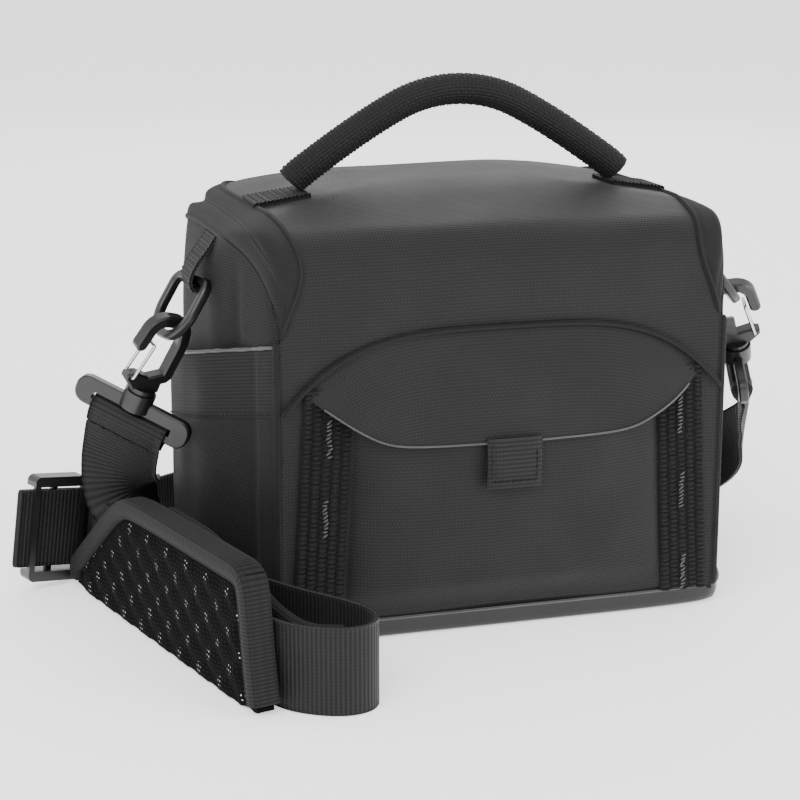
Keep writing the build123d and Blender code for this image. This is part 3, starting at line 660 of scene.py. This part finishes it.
def add_wall_skin():
    """Side and back walls in coarse weave, one sheet from front corner to front corner."""
    tree = surface_tree("left_side_panel", "back_panel", "right_side_panel")
    inset = 0.86

    def wall(share, top):
        x, y, high = top
        foot = BASE_Z - 1
        z = foot + (high - foot) * share
        if share == 1:
            return top
        if abs(x) < 106 and y < -60:
            return math.copysign(FRONT_HALF, x), FRONT_Y + 0.6, z
        target = (x * inset, y * inset if abs(y) > 70 else y, z)
        return hit(tree, target, wall_direction(top))

    def slack(down, across, point):
        pleat = 1.6 * math.exp(-(((point[1] + 38) / 3.5) ** 2)) * ease((point[2] - 125) / 12)
        inner = min(1, 7 * min(down, 1 - down))
        return inner * (0.9 + 1.5 * rough(point, 34) - pleat)

    points = slackened(smoothed(grid(np.linspace(0, 1, 44), wall_curve, wall), 3), slack)
    skin = sheet("wall_skin", points, M["weave"], 1.5)
    finish_piece(skin, "root", "body_weave", "left_side_panel", "back_panel", "right_side_panel", smooth=1)


BASE_HALF = ((-103, -75), (-112, -66), (-121, -40), (-122.5, 5), (-119, 60), (-108, 77.5))
BASE_TOP = 9.4
BAND_RINGS = ((BASE_TOP, 0.0), (7, -0.002), (4, -0.002), (1.8, 0.004))
FLOOR_RINGS = ((0.7, 0.02), (0.6, 0.3), (0.6, 0.7), (0.6, 0.97))
OUTLINE_STEPS = 160


def base_ring(z, inset):
    """Outline of the base at one height: straight front and back, bowed sides, rounded corners."""
    right = [(-x, y) for x, y in BASE_HALF[::-1]]
    corners = [*BASE_HALF, (0, 78), *right, (0, -75.2), BASE_HALF[0]]
    flat = resample(rounded(corners), count=OUTLINE_STEPS + 1)[:-1] * (1 - inset)
    return np.concatenate([flat, np.full((len(flat), 1), z)], 1)


def add_base_skin():
    """Glossy coated base band and underside, with its pale seam."""
    points = np.array([base_ring(z, inset) for z, inset in BAND_RINGS + FLOOR_RINGS])
    normals = outward(points, True, np.array((0, 0, 9.0)))
    skin = sheet("base_skin", points, M["gloss_band"], 0.5, ring=True, normals=normals)
    finish_piece(skin, "root", "coated_fabric", "base_panel")
    seam = tube("base_seam", base_ring(BASE_TOP, -0.004), 0.75, M["seam"], sides=8, ring=True)
    finish_piece(seam, "root", "piping")


def add_corner_binding():
    """Dark binding up the two front corners, where the coated front meets the woven sides."""
    for side, sign in SIDES:
        line = [(sign * 105.0, -73.6, z) for z in np.arange(10, 142, 2.0)]
        piece = tube(f"corner_binding_{side}", line, 2.1, M["weave"], sides=12)
        finish_piece(piece, "root", "body_weave")


def add_tape(name, first, second, body, node):
    """Half of the zipper tape: a narrow, slightly domed sheet from one curve to another."""
    share = np.linspace(0, 1, 6)[:, None, None]
    points = first * (1 - share) + second * share
    normals = outward(points)
    points = eased_line(on_body(points.reshape(-1, 3), 0.4).reshape(points.shape))
    points = points + normals * 0.7 * np.sin(math.pi * share)
    piece = sheet(name, points, M["tape"], 1.0, normals=normals)
    return finish_piece(piece, body, "zipper_tape", node, smooth=1)


def add_zipper():
    tape = add_tape("tape_lid_cloth", lid_curve, middle_curve, None, "zipper_tape_lid")
    fold_with_lid(tape)
    add_tape("tape_body_cloth", middle_curve, wall_curve, "root", "zipper_tape_body")
    coil = tube("zipper_coil_cloth", resample(middle_curve, 1.6), 0.55, M["webbing"], sides=8)
    finish_piece(coil, "root", "zipper_tape", "zipper_coil")
    lid_pipe = tube("lid_piping", resample(lid_curve, 3.0), 1.5, M["binding"])
    finish_piece(lid_pipe, None, "piping")
    fold_with_lid(lid_pipe)
    wall_pipe = tube("wall_piping", resample(wall_curve, 3.0), 1.2, M["binding"])
    finish_piece(wall_pipe, "root", "piping")


# ---------------------------------------------------------------- front: pocket, flap, pull tab, ladders
POCKET_MOUTH = 112.0
FLAP_HALF = 93.0
YOKE_HALF = 98.0
FLAP_FOOT = 91.0
PIPING_SWEEP = 35.0
PIPING_TOP = 142.0


def arch_height(x):
    """Height of the arch piping at a distance from the middle."""
    return PIPING_TOP - PIPING_SWEEP * abs(x / FRONT_HALF) ** 3.8


def flap_foot(x):
    """Lower edge of the flap: straight in the middle, bending to a slant up to its corners."""
    past = abs(x) - 60
    return FLAP_FOOT - 0.8 + 0.74 * 0.5 * (past + math.hypot(past, 11))


def add_front_pocket():
    """Pocket front: full towards its foot and sides, with slack folds where the flap's corners pull."""
    foot = 12.0

    def cloth(z, share):
        half = ladder_edge(z) - 0.6
        x = half * share
        side = 1 - abs(share) ** 5
        risen = ease((z - foot) / 16)
        wrinkle = 1.5 * rough((x, 0, z * 1.4), 26) * risen * side
        pulled = math.exp(-(((abs(x) - 42) / 18) ** 2)) * ease((z - 70) / 30)
        fold = math.sin((x * 0.9 + z) / 9) * pulled
        return x, -75.6 - 7.2 * side**0.6 * risen - wrinkle - fold, z

    points = grid(np.linspace(foot, POCKET_MOUTH, 56), np.linspace(-1, 1, 72), cloth)
    piece = sheet("front_pocket_cloth", points, M["coated"], 1.4)
    finish_piece(piece, "root", "coated_fabric", "front_pocket", smooth=1)


def add_flap():
    """Yoke and flap as one sheet that swells out below the yoke, with a pale lower edge."""

    def cloth(share, x):
        high = arch_height(x) - 0.5
        low = min(flap_foot(min(abs(x), FLAP_HALF)), high - 1.0)
        z = high + (low - high) * share
        bulge = 9.2 * ease((high - z) * 0.032) ** 0.8
        near_end = ease((YOKE_HALF - abs(x)) / 12 + 0.15)
        wave = 0.5 * rough((x, 7, z), 30)
        return x, -76.0 - bulge * (0.3 + 0.7 * near_end) - wave * share, z

    points = grid(np.linspace(0, 1, 48), np.linspace(-YOKE_HALF, YOKE_HALF, 100), cloth)
    piece = sheet("flap_cloth", points, M["coated"], 1.5)
    finish_piece(piece, None, "coated_fabric", "flap_yoke", "front_flap", smooth=1)
    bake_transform(piece)
    hem = points[-1][6:-6] + np.array((0, -0.35, 0.3))
    edge = tube("flap_edge", resample(hem, 2.0), 0.45, M["seam"], sides=8)
    finish_piece(edge, "flap", "coated_fabric")


def add_flap_piping():
    half = FRONT_HALF - 0.5
    line = [(x, -77.6, arch_height(x)) for x in np.linspace(-half, half, 150)]
    piece = tube("arch_piping", line, 1.1, M["binding"])
    finish_piece(piece, "root", "piping", "flap_piping")


STITCH = 2.4
STITCH_GAP = 0.9
STITCH_STEP = 0.3


def stitches(name, points, body):
    """A row of stitches along a line."""
    line = resample(points, STITCH_STEP)
    step = int(round((STITCH + STITCH_GAP) / STITCH_STEP))
    run = int(round(STITCH / STITCH_STEP))
    made = []
    for start in range(0, len(line) - run, step):
        part = line[start : start + run + 1 : 2]
        made.append(tube(name, part, 0.32, M["thread"], sides=6))
    finish_piece(join(name, made), body, "webbing")


def add_pull_tab():
    half, foot, top = 13, 70, 93

    def cloth(z, x):
        crown = 1.1 * (1 - abs(x / half) ** 6)
        belly = 0.8 * math.sin((z - foot) / (top - foot) * math.pi)
        return x, -86.3 - crown - belly, z

    points = grid(np.linspace(foot, top, 20), np.linspace(-half, half, 24), cloth)
    piece = sheet("pull_tab_cloth", points, M["fine_web"], 2.0)
    finish_piece(piece, "flap", "webbing", "pull_tab", smooth=1)
    frame_line = [(-10.5, -88.2, 90), (-10.5, -88.4, 73), (10.5, -88.4, 73), (10.5, -88.2, 90)]
    stitches("pull_tab_stitches", frame_line, "flap")


LADDER_FOOT = 10
LADDER_TOP = 119
LADDER_WIDTH = 25.5
LADDER_COLUMNS = 5
RUNG = 2.2
DASH_HEIGHTS = {"left": (104, 68), "right": (103, 67, 27)}


def ladder_edge(z):
    """Inner edge of a ladder, leaning in towards its top."""
    return 77.5 - 6.0 * (z - LADDER_FOOT) / (LADDER_TOP - LADDER_FOOT)


def add_ladders():
    """Webbing ladders beside the pocket: chunky ribs in columns, with a few pale woven dashes."""
    for side, sign in SIDES:

        def cloth(z, share):
            column = share * LADDER_COLUMNS
            rib = abs(math.sin(math.pi * (z / RUNG + 0.5 * (int(column) % 2)))) ** 0.7
            groove = 1 - abs(2 * (column % 1) - 1) ** 5
            return sign * (ladder_edge(z) + share * LADDER_WIDTH * 0.88), -76.2 - 1.6 * rib * groove, z

        points = grid(np.linspace(LADDER_FOOT, LADDER_TOP, 330), np.linspace(0, 1, 60), cloth)
        if sign < 0:
            points = points[:, ::-1]
        normals = facing(points, (0.0, -1.0, 0.0))
        piece = sheet(f"ladder_cloth_{side}", points, M["webbing"], 1.2, normals=normals)
        finish_piece(piece, "root", "webbing", f"webbing_ladder_{side}")
        made = []
        for z in DASH_HEIGHTS[side]:
            for k in range(10):
                middle = sign * (ladder_edge(z) + 11) + 0.9 * rough((k * 3.1, z, 1), 2.0)
                tilt = 0.6 + 0.9 * rough((z, k * 2.7, 5), 2.0)
                line = [(middle + dx, -78.1, z - k * 1.75 + tilt * dx) for dx in (-1.0, 0, 1.0)]
                made.append(tube("dash", line, 0.4, M["pale_thread"], sides=6))
        finish_piece(join(f"ladder_dashes_{side}", made), "root", "webbing")


# ---------------------------------------------------------------- sides: pockets, hems, ring tabs
HEM_DEPTH = 31
SIDE_COLUMNS = 64


def hem_top(y):
    """Height of the side pocket's mouth, lower towards the back."""
    return 138 - 0.22 * (y + 75)


def side_cloth(side, sign, kind, rows, size, swell):
    """Grid of a side pocket or its hem, laid on the CAD surface, with uneven swells of a given size."""
    tree = surface_tree(f"side_{kind}_{side}", f"{side}_side_panel")

    def on_side(share, y):
        top = hem_top(y)
        low, high = (top - HEM_DEPTH, top) if kind == "hem" else (5, top - HEM_DEPTH)
        z = low + (high - low) * share
        found = hit(tree, (sign * 118, y, min(max(z, low + 0.3), high - 0.3)), (sign, 0, 0))
        return found[0], found[1], z

    points = grid(np.linspace(0, 1, rows), np.linspace(-72.5, 67.4, SIDE_COLUMNS), on_side)
    for _ in range(2):
        points[:, 1:-1, 0] = (points[:, 1:-1, 0] * 2 + points[:, :-2, 0] + points[:, 2:, 0]) / 4
    last = SIDE_COLUMNS - 1
    for row in points:
        for c, point in enumerate(row):
            inner = min(1, 5 * min(c, last - c) / last)
            over_wall = 2.0 * ease((-55 - point[1]) / 5)
            point[0] += sign * (inner * (swell[0] + swell[1] * rough(point, size)) + over_wall)
    return points[:, ::-1] if sign > 0 else points


def fray(along, turn):
    """Unevenness of a hem's pale edge."""
    return 0.35 * rough((along, turn, 3), 5.0)


def add_side_pockets():
    for side, sign in SIDES:
        points = side_cloth(side, sign, "pocket", 40, 34, (0.8, 1.4))
        piece = sheet(f"side_pocket_cloth_{side}", points, M["weave"], 1.3)
        finish_piece(piece, "root", "body_weave", f"side_pocket_{side}", smooth=1)

        points = side_cloth(side, sign, "hem", 22, 60, (0.5, 0.5))
        piece = sheet(f"side_hem_cloth_{side}", points, M["binding"], 1.3)
        finish_piece(piece, "root", "webbing", f"side_hem_{side}", smooth=1)
        edge = resample(points[-1] + np.array((sign * 0.2, 0, 0.2)), 1.5)
        line = tube(f"hem_edge_{side}", edge, 0.8, M["seam"], sides=8, relief=fray)
        finish_piece(line, "root", "webbing")
        lower = points[1] + np.array((sign * 0.5, 0, 0))
        stitches(f"hem_stitches_{side}", lower[2:-2], "root")


RIBBON_STEP = 0.45


def ribbed_ribbon(name, path, width_line, width, thickness, pitch, height, material):
    """A flat band along a path with ribs across it."""
    path = resample(rounded(path), RIBBON_STEP)
    across = unit(np.array(width_line, float))
    side = unit(np.cross(unit(np.gradient(path, axis=0)), across))
    columns = np.linspace(-width / 2, width / 2, 12)
    along = np.arange(len(path)) * RIBBON_STEP
    rib = height * np.abs(np.sin(np.pi * along / pitch)) ** 0.7
    points = path[:, None] + across * columns[None, :, None] + side[:, None] * rib[:, None, None]
    normals = np.repeat(side[:, None], len(columns), 1)
    return sheet(name, points, material, thickness, normals=normals)


RING_TAB_PATH = (
    (113.5, 181),
    (117.5, 178.5),
    (121.5, 172),
    (126.5, 166),
    (130, 160),
    (131, 156),
    (130, 152.5),
    (127.5, 151.5),
    (124, 152.5),
)


def add_ring_tabs():
    for side, sign in SIDES:
        line = [(sign * x, 0, z) for x, z in RING_TAB_PATH]
        piece = ribbed_ribbon(f"ring_tab_cloth_{side}", line, (0, sign, 0), 22, 1.5, 2.0, 0.55, M["webbing"])
        finish_piece(piece, "root", "webbing", f"ring_tab_{side}")


# ---------------------------------------------------------------- handle
HANDLE_HALF = ((0, 240.2), (16, 239.6), (44, 225), (77, 202.8), (80.8, 198.9))
BEAD_PITCH = 1.9


def add_handle():
    """The round beaded grip, and its two flat ends sewn to the lid."""
    left = [(-x, 0, z) for x, z in HANDLE_HALF[:0:-1]]
    right = [(x, 0, z) for x, z in HANDLE_HALF[1:]]
    line = resample(rounded(left + right), 0.48)

    def beads(along, turn):
        ring = 0.75 * abs(math.sin(math.pi * along / BEAD_PITCH))
        return ring * (0.75 + 0.25 * math.cos(turn * 12 + int(along / BEAD_PITCH) * math.pi)) - 0.5

    piece = tube("handle_tube", line, 7.3, M["webbing"], sides=48, relief=beads, up=(0.0, 1.0, 0.0))
    finish_piece(piece, "handle", "webbing", "handle_grip")
    for side, sign in SIDES:
        tree = surface_tree(f"handle_end_{side}")

        def ribs(x, y):
            found = hit(tree, (sign * min(x, 100.8), y, 189), (0, 0, 1))
            bead = 0.9 * abs(math.sin(math.pi * x / BEAD_PITCH)) ** 0.7
            return sign * x, found[1], found[2] + bead - 0.1

        points = grid(np.arange(74, 101.2, 0.42), np.linspace(-13.3, 13.3, 22), ribs)
        normals = facing(points, (0.0, 0.0, 1.0))
        piece = sheet(f"handle_end_cloth_{side}", points, M["webbing"], 3.5, normals=normals)
        finish_piece(piece, "lid", "webbing", f"handle_end_{side}")


# ---------------------------------------------------------------- clips, strap and shoulder pad
WEB_WIDTH = 38.0
WEB_THICK = 1.8
EDGE_Z = 19.4
BAR_CENTRE = {"left": (-156.0, 6.6, 93.7), "right": (155.7, 12.85, 96.9)}
CLIP_AXIS = {"left": (0.335, -0.25, 0.908), "right": (-0.28, -0.41, 0.865)}
CROSSBAR_LINE = {"left": (0.775, -0.41, -0.487), "right": (-0.2, -0.78, -0.57)}
PAD_START = np.array((-183.0, 40.0, 0.0))
PAD_LINE = np.array((0.258, -0.966, 0.0))
PAD_NORMAL = np.array((0.966, 0.258, 0.0))
SLIDER_CENTRE = np.array((-191.0, 43.0, 29.0))
SLIDE_LINE = unit(np.array((0.921, 0.357, -0.139)))
SLIDER_UP = unit(np.array((0.0, 0.0, 1.0)) - SLIDE_LINE * SLIDE_LINE[2])
SLIDER_OUT = np.cross(SLIDE_LINE, SLIDER_UP)
DOWN = (0, 0, -1)


def pad_point(along, across, height=0.0):
    return PAD_START + PAD_LINE * along + PAD_NORMAL * across + np.array((0, 0, height))


def pad_stations(*places):
    return [(pad_point(along, across, height), DOWN) for along, across, height in places]


def adjuster_station(along, layer):
    return SLIDER_CENTRE + SLIDE_LINE * along + SLIDER_OUT * layer, -SLIDER_UP


def clip_frame(side):
    """Centre, axis towards the hook, line of the crossbar and its normal."""
    axis = unit(np.array(CLIP_AXIS[side]))
    line = np.array(CROSSBAR_LINE[side])
    line = unit(line - axis * line.dot(axis))
    return np.array(BAR_CENTRE[side]), axis, line, np.cross(line, axis)


def web_end(side):
    """Where the strap ends in a clip, and its width line there."""
    centre, axis, line, _ = clip_frame(side)
    return centre - axis * 14.2, line


left_run = [
    web_end("left"),
    ((-161.5, 17, 71), (0.8, -0.43, -0.41)),
    ((-161.5, 23, 60), (0.82, -0.3, -0.48)),
    ((-159.5, 26, 49), (0.86, -0.05, -0.5)),
    ((-153, 25.3, 40), (0.82, 0.22, -0.53)),
    ((-148.6, 19.8, 33), (0.7, 0.36, -0.61)),
    ((-145.5, 10.4, 27), (0.5, 0.32, -0.8)),
    ((-142.5, -3, 22.5), (0.27, 0.17, -0.95)),
    ((-138, -20, 19.6), (0.08, 0.03, -1)),
] + pad_stations((90, 27, EDGE_Z), (110, 28, EDGE_Z), (135, 32, EDGE_Z), (160, 40, EDGE_Z), (182, 50, EDGE_Z))
bow = pad_stations(
    (196, 54, EDGE_Z),
    (206, 51.5, EDGE_Z),
    (212, 45, EDGE_Z),
    (213, 37.5, EDGE_Z),
    (210.5, 30, EDGE_Z),
    (203, 21, EDGE_Z),
    (192, 14, EDGE_Z),
    (175, 11.5, EDGE_Z),
)
inner_run = pad_stations((120, 11.5, EDGE_Z + 1.5), (60, 11.5, EDGE_Z + 4), (14, 11.5, 25), (3, 12, 25.8)) + [
    ((-171.6, 48.0, 26.2), -SLIDER_UP),
    adjuster_station(17, 1),
    adjuster_station(-19, 1),
]
back_run = [
    adjuster_station(-19, -1),
    adjuster_station(19, -1),
    ((-160, 57, 23), DOWN),
    ((-147, 68, EDGE_Z), DOWN),
    ((-130, 85, EDGE_Z), DOWN),
    ((-105, 97, EDGE_Z), DOWN),
    ((-60, 103, EDGE_Z), DOWN),
    ((0, 105, EDGE_Z), DOWN),
    ((60, 102, EDGE_Z), DOWN),
    ((105, 93, EDGE_Z), DOWN),
]
right_run = [
    ((128, 82, EDGE_Z), DOWN),
    ((150, 70, 23), (-0.05, -0.2, -0.98)),
    ((167, 58, 34), (-0.15, -0.35, -0.92)),
    ((176, 46, 48), (-0.3, -0.5, -0.81)),
    ((174, 35, 62), (-0.45, -0.62, -0.64)),
    ((164.5, 25, 74), (-0.38, -0.72, -0.57)),
    web_end("right"),
]


def spline_points(name, stations):
    """Even points read from a smooth spline whose control points are the stations."""
    data = bpy.data.curves.new(name, "CURVE")
    data.dimensions = "3D"
    data.resolution_u = 12
    spline = data.splines.new("NURBS")
    spline.points.add(len(stations) - 1)
    for point, (place, _) in zip(spline.points, stations):
        point.co = (*(np.array(place, float) * MM), 1)
    spline.order_u = 3
    spline.use_endpoint_u = True
    guide = link(bpy.data.objects.new(name, data))
    line = bpy.data.meshes.new_from_object(guide)
    points = np.array([v.co for v in line.vertices]) / MM
    bpy.data.objects.remove(guide)
    return resample(points, 1.1)


def nearest_station(point, places, start):
    """Position of a point along the stations, counted in stations, no earlier than start."""
    best, best_gap = start, 1e9
    first = int(start)
    for index in range(first, min(first + 3, len(places) - 1)):
        a, b = places[index], places[index + 1]
        share = float(np.clip(np.dot(point - a, b - a) / np.dot(b - a, b - a), 0, 1))
        gap = np.linalg.norm(a + (b - a) * share - point)
        if gap < best_gap - 1e-6 and index + share >= start:
            best, best_gap = index + share, gap
    return best


def add_strap(name, stations, nodes):
    """A length of webbing along its stations, turning its width line smoothly from one to the next."""
    places = np.array([place for place, _ in stations], float)
    widths = unit(np.array([width for _, width in stations], float))
    line = spline_points(name + "_line", stations)
    at, where = [], 0.0
    for point in line:
        where = nearest_station(point, places, where)
        at.append(where)
    across = np.stack([np.interp(at, range(len(stations)), widths[:, k]) for k in range(3)], 1)
    for _ in range(12):
        across[1:-1] = (across[1:-1] * 2 + across[:-2] + across[2:]) / 4
    tangents = unit(np.gradient(line, axis=0))
    across = unit(across - tangents * np.sum(across * tangents, 1, keepdims=True))
    normals = np.cross(tangents, across)
    columns = np.linspace(-WEB_WIDTH / 2, WEB_WIDTH / 2, 18)
    points = line[:, None] + across[:, None] * columns[None, :, None] + normals[:, None] * WEB_THICK / 2
    grid_normal = np.repeat(normals[:, None], len(columns), 1)
    piece = sheet(name, points, M["fine_web"], WEB_THICK, normals=grid_normal)
    finish_piece(piece, "root", "webbing", *nodes)
    length = float(distances(line)[-1])


def add_strap_fold():
    """The strap's turn round the adjuster's end bar, where its two layers meet."""
    end = SLIDER_CENTRE - SLIDE_LINE * 19
    line = [end + SLIDER_UP * t for t in np.linspace(-WEB_WIDTH / 2, WEB_WIDTH / 2, 28)]
    piece = tube("strap_fold", line, 1.9, M["fine_web"], sides=14, up=tuple(SLIDE_LINE))
    finish_piece(piece, "root", "webbing")


def add_web_loops():
    """Webbing ends wrapped round the clips' rails and sewn, with fine ribs."""
    half, top, foot, tail = 4.3, -2.0, -7.0, -12.5
    upper = [(tail, 0.9), (foot, half), (top + 0.5, half)]
    lower = [(along, -out) for along, out in upper[::-1]]
    for side, _ in SIDES:
        centre, axis, line, normal = clip_frame(side)
        path = [centre + axis * along + normal * out for along, out in [*upper, (top + 1.6, 0), *lower]]
        piece = ribbed_ribbon(f"web_loop_cloth_{side}", path, line, WEB_WIDTH, 1.4, 1.5, 0.3, M["fine_web"])
        finish_piece(piece, "root", "webbing", f"web_loop_{side}")
        row = [centre - axis * 15 + normal * 2.2 + line * t for t in np.linspace(-16, 16, 9)]
        zigzag = [point + axis * (1.6 if k % 2 else -1.6) for k, point in enumerate(row)]
        stitches(f"web_stitches_{side}", zigzag, "root")


CUSHION_START = 3.0
CUSHION_HEIGHT = 60.0
BUMP_LONG = 20.0
BUMP_HIGH = 17.0


def cushion_top(along):
    """Upper edge of the cushion: a long slant from the low end, then level."""
    slant = 12 + 48 * (along - 2) / 60
    return min(CUSHION_HEIGHT, 0.5 * (slant + CUSHION_HEIGHT - math.hypot(slant - CUSHION_HEIGHT, 7)))


def cushion_end(height):
    """Right-hand end of the cushion, leaning out towards its foot."""
    return 194 - 8 * height / CUSHION_HEIGHT


def crest(distance, pitch):
    """A smooth ridge from 0 to 1 and back, once every pitch."""
    return 0.5 + 0.5 * math.sin(2 * math.pi * distance / pitch)


def dimple(u, v):
    """Honeycomb bumps of the mesh, from 0 to 1."""
    first = crest(u, BUMP_LONG) * crest(v, BUMP_HIGH)
    second = crest(u + BUMP_LONG / 2, BUMP_LONG) * crest(v + BUMP_HIGH / 2, BUMP_HIGH)
    return max(first, second)


def speckled_mesh():
    """Dark air mesh with clusters of small pale specks on its bumps, and faint painted shade in the knit's
    valleys.
    """
    paint = Paint("speckled_mesh", 0.85, sheen=0.0, specular=0.06)
    u, v = paint.lay()
    first = paint.math("MULTIPLY", paint.wave(u, BUMP_LONG), paint.wave(v, BUMP_HIGH))
    shifted = (paint.math("ADD", u, BUMP_LONG / 2), paint.math("ADD", v, BUMP_HIGH / 2))
    second = paint.math("MULTIPLY", paint.wave(shifted[0], BUMP_LONG), paint.wave(shifted[1], BUMP_HIGH))
    bumps = paint.math("MAXIMUM", first, second)
    lean = paint.math("ADD", u, paint.math("MULTIPLY", v, 0.5))
    knit = paint.math("MULTIPLY", paint.wave(lean, 2.6), paint.wave(v, 2.0))
    near = paint.math("GREATER_THAN", bumps, 0.84)
    bright = paint.math("GREATER_THAN", knit, 0.74)
    speck = paint.math("MULTIPLY", near, bright)
    # The knit's valleys are painted slightly darker than its crests, a painted shade; the pale specks are the
    # mesh's own colour.
    share = paint.math("MULTIPLY_ADD", knit, 0.012, paint.math("MULTIPLY", speck, 0.95))
    paint.colour(share, grey(0.002), grey(0.55))
    paint.bump(knit, 0.9, 0.35)
    return paint.material


def cover_top(along):
    """Upper edge of the cover, falling in a curve towards its right-hand end."""
    return 56 - 22 * ease((along - 110) / 90) - 4 * ease((along - 160) / 30)


def band(name, line, depth_line, half_width, half_depth, material):
    """A binding folded over an edge: a rounded flat band of given half sizes, ribbed lengthwise."""
    sides = 40
    line = resample(rounded(line, 2), 1.0)
    depth = unit(np.array(depth_line, float))
    wide = unit(np.cross(unit(np.gradient(line, axis=0)), depth))
    turns = np.linspace(0, 2 * math.pi, sides, endpoint=False)
    squareness = 0.35
    across = np.sign(np.cos(turns)) * np.abs(np.cos(turns)) ** squareness * half_width
    deep = np.sign(np.sin(turns)) * np.abs(np.sin(turns)) ** squareness * half_depth
    groove = np.sign(deep) * 0.3 * np.cos(np.cos(turns) * 4 * math.pi)
    points = line[:, None] + wide[:, None] * across[:, None] + depth * (deep + groove)[:, None]
    rows = len(line)
    last = (rows - 1) * sides
    faces = quads(rows, sides, True, 0, True) + [range(sides), [last + k for k in range(sides)][::-1]]
    lay = np.stack([np.tile(across + deep * 0.3, rows), np.repeat(np.arange(rows) * 1.0, sides)], 1)
    return make_object(name, points.reshape(-1, 3), faces, material, lay)


def add_cushion():
    """The pad's mesh cushion, dimpled inside its edges, with a ribbed binding over its upper edge and end."""

    def cloth(share, part):
        top = cushion_top(CUSHION_START + 183 * part)
        z = 0.8 + (top - 1.6) * share
        end = cushion_end(z) - 1
        along = CUSHION_START + (end - CUSHION_START) * part
        gap = min((1 - share) * top, along - CUSHION_START, end - along)
        bump = dimple(along, z) * 1.6 + 1.0
        scallop = 0.8 * abs(math.sin(math.pi * along / 10)) * (1 - ease(z / 3))
        return pad_point(along, 1.2 - bump * ease((gap - 6) / 8), z + scallop)

    points = grid(np.linspace(0, 1, 100), np.linspace(0, 1, 280), cloth)
    normals = facing(points, -PAD_NORMAL)
    cushion = sheet("pad_cushion_cloth", points, speckled_mesh(), 8.0, normals=normals)
    finish_piece(cushion, "root", "pad_mesh", "pad_cushion")
    edge = [(3.5, 4), (3.5, 10)]
    edge += [(along, cushion_top(along) - 2.2) for along in np.linspace(6, 176, 60)]
    edge += [(181.5, 56.5), (184.5, 52), (186.5, 38), (189, 20), (192, 4.5)]
    line = [pad_point(along, 4.4, z) for along, z in edge]
    binding = band("pad_binding", line, PAD_NORMAL, 4.6, 6.1, M["binding"])
    finish_piece(binding, "root", "pad_fabric")


def add_cover():
    """The pad's cover leaf behind the strap, curving away from the cushion, with a bound upper edge."""
    plan = [pad_point(*place) for place in ((78, 17), (160, 17), (186, 27), (193, 43))]
    plan = resample(rounded(plan), 2.0)
    out = np.cross(unit(np.gradient(plan, axis=0)), (0, 0, 1.0))
    tops = [cover_top(float(np.dot(point - PAD_START, PAD_LINE))) for point in plan]

    def cloth(share, k):
        z = 1.2 + (tops[k] - 2) * share
        dome = 0.7 * math.sin(math.pi * share) + 0.4 * rough((plan[k][0], plan[k][1], z), 22)
        return plan[k] + out[k] * (2.4 + dome) + np.array((0, 0, z))

    points = grid(np.linspace(0, 1, 34), range(len(plan)), cloth)
    normals = np.tile(out[None], (len(points), 1, 1))
    cover = sheet("pad_cover_cloth", points, M["weave"], 5.4, normals=normals)
    finish_piece(cover, "root", "pad_fabric", "pad_cover", smooth=1)
    upper = [point + np.array((0, 0, top - 2.0)) for point, top in zip(plan, tops)]
    edge = tube("pad_cover_binding", resample(upper, 1.0), 3.4, M["binding"], sides=16)
    finish_piece(edge, "root", "pad_fabric")


# ---------------------------------------------------------------- inside padding and CAD pieces that stay
def add_lining(name, body):
    """A softened copy of a foam piece: rounded edges and slightly quilted faces."""
    source = NODES[name]
    copy = link(bpy.data.objects.new(name + "_soft", source.data.copy()))
    cells = copy.modifiers.new("cells", "REMESH")
    cells.mode = "VOXEL"
    cells.voxel_size = 0.003
    relax = copy.modifiers.new("relax", "SMOOTH")
    relax.factor = 0.6
    relax.iterations = 5
    bpy.context.view_layer.update()
    evaluated = copy.evaluated_get(bpy.context.evaluated_depsgraph_get())
    mesh = bpy.data.meshes.new_from_object(evaluated)
    for vertex in mesh.vertices:
        lift = 0.5 * rough(vertex.co / MM, 26)
        vertex.co += vertex.normal * lift * MM
    mesh.materials.clear()
    mesh.materials.append(M["lining"])
    mesh.shade_smooth()
    bpy.data.objects.remove(copy)
    piece = link(bpy.data.objects.new(name + "_soft", mesh))
    finish_piece(piece, body, "lining", name)


def paint_cad():
    """Hard pieces keep their CAD mesh and take a real material."""
    looks = {"clip_bar": "plastic", "hook": "plastic", "d_ring": "plastic", "strap_slider": "plastic"}
    looks.update({"gate": "wire", "zipper_slider": "enamel", "zipper_pull": "enamel", "base_board": "board"})
    for name, node in NODES.items():
        for start, look in looks.items():
            if name.startswith(start):
                node.data.materials.clear()
                node.data.materials.append(M[look])
                node.data.shade_smooth()
                node.data.set_sharp_from_angle(angle=math.radians(35))


# ---------------------------------------------------------------- build
add_camera()
add_floor()
add_lights()
paint_cad()
add_lid_skin()
add_wall_skin()
add_base_skin()
add_corner_binding()
add_zipper()
add_front_pocket()
add_flap()
add_flap_piping()
add_pull_tab()
add_ladders()
add_side_pockets()
add_ring_tabs()
add_handle()
add_web_loops()
add_strap("strap_near", left_run + bow + inner_run, ["strap_left", "strap_bow", "strap_inner"])
add_strap("strap_far", back_run + right_run, ["strap_back", "strap_right"])
add_strap_fold()
add_cushion()
add_cover()
for foam in ("foam_left", "foam_right", "foam_front", "foam_back", "foam_floor"):
    add_lining(foam, "root")
add_lining("lid_foam", "lid")
add_lining("divider_left", "divider_left_body")
add_lining("divider_right", "divider_right_body")
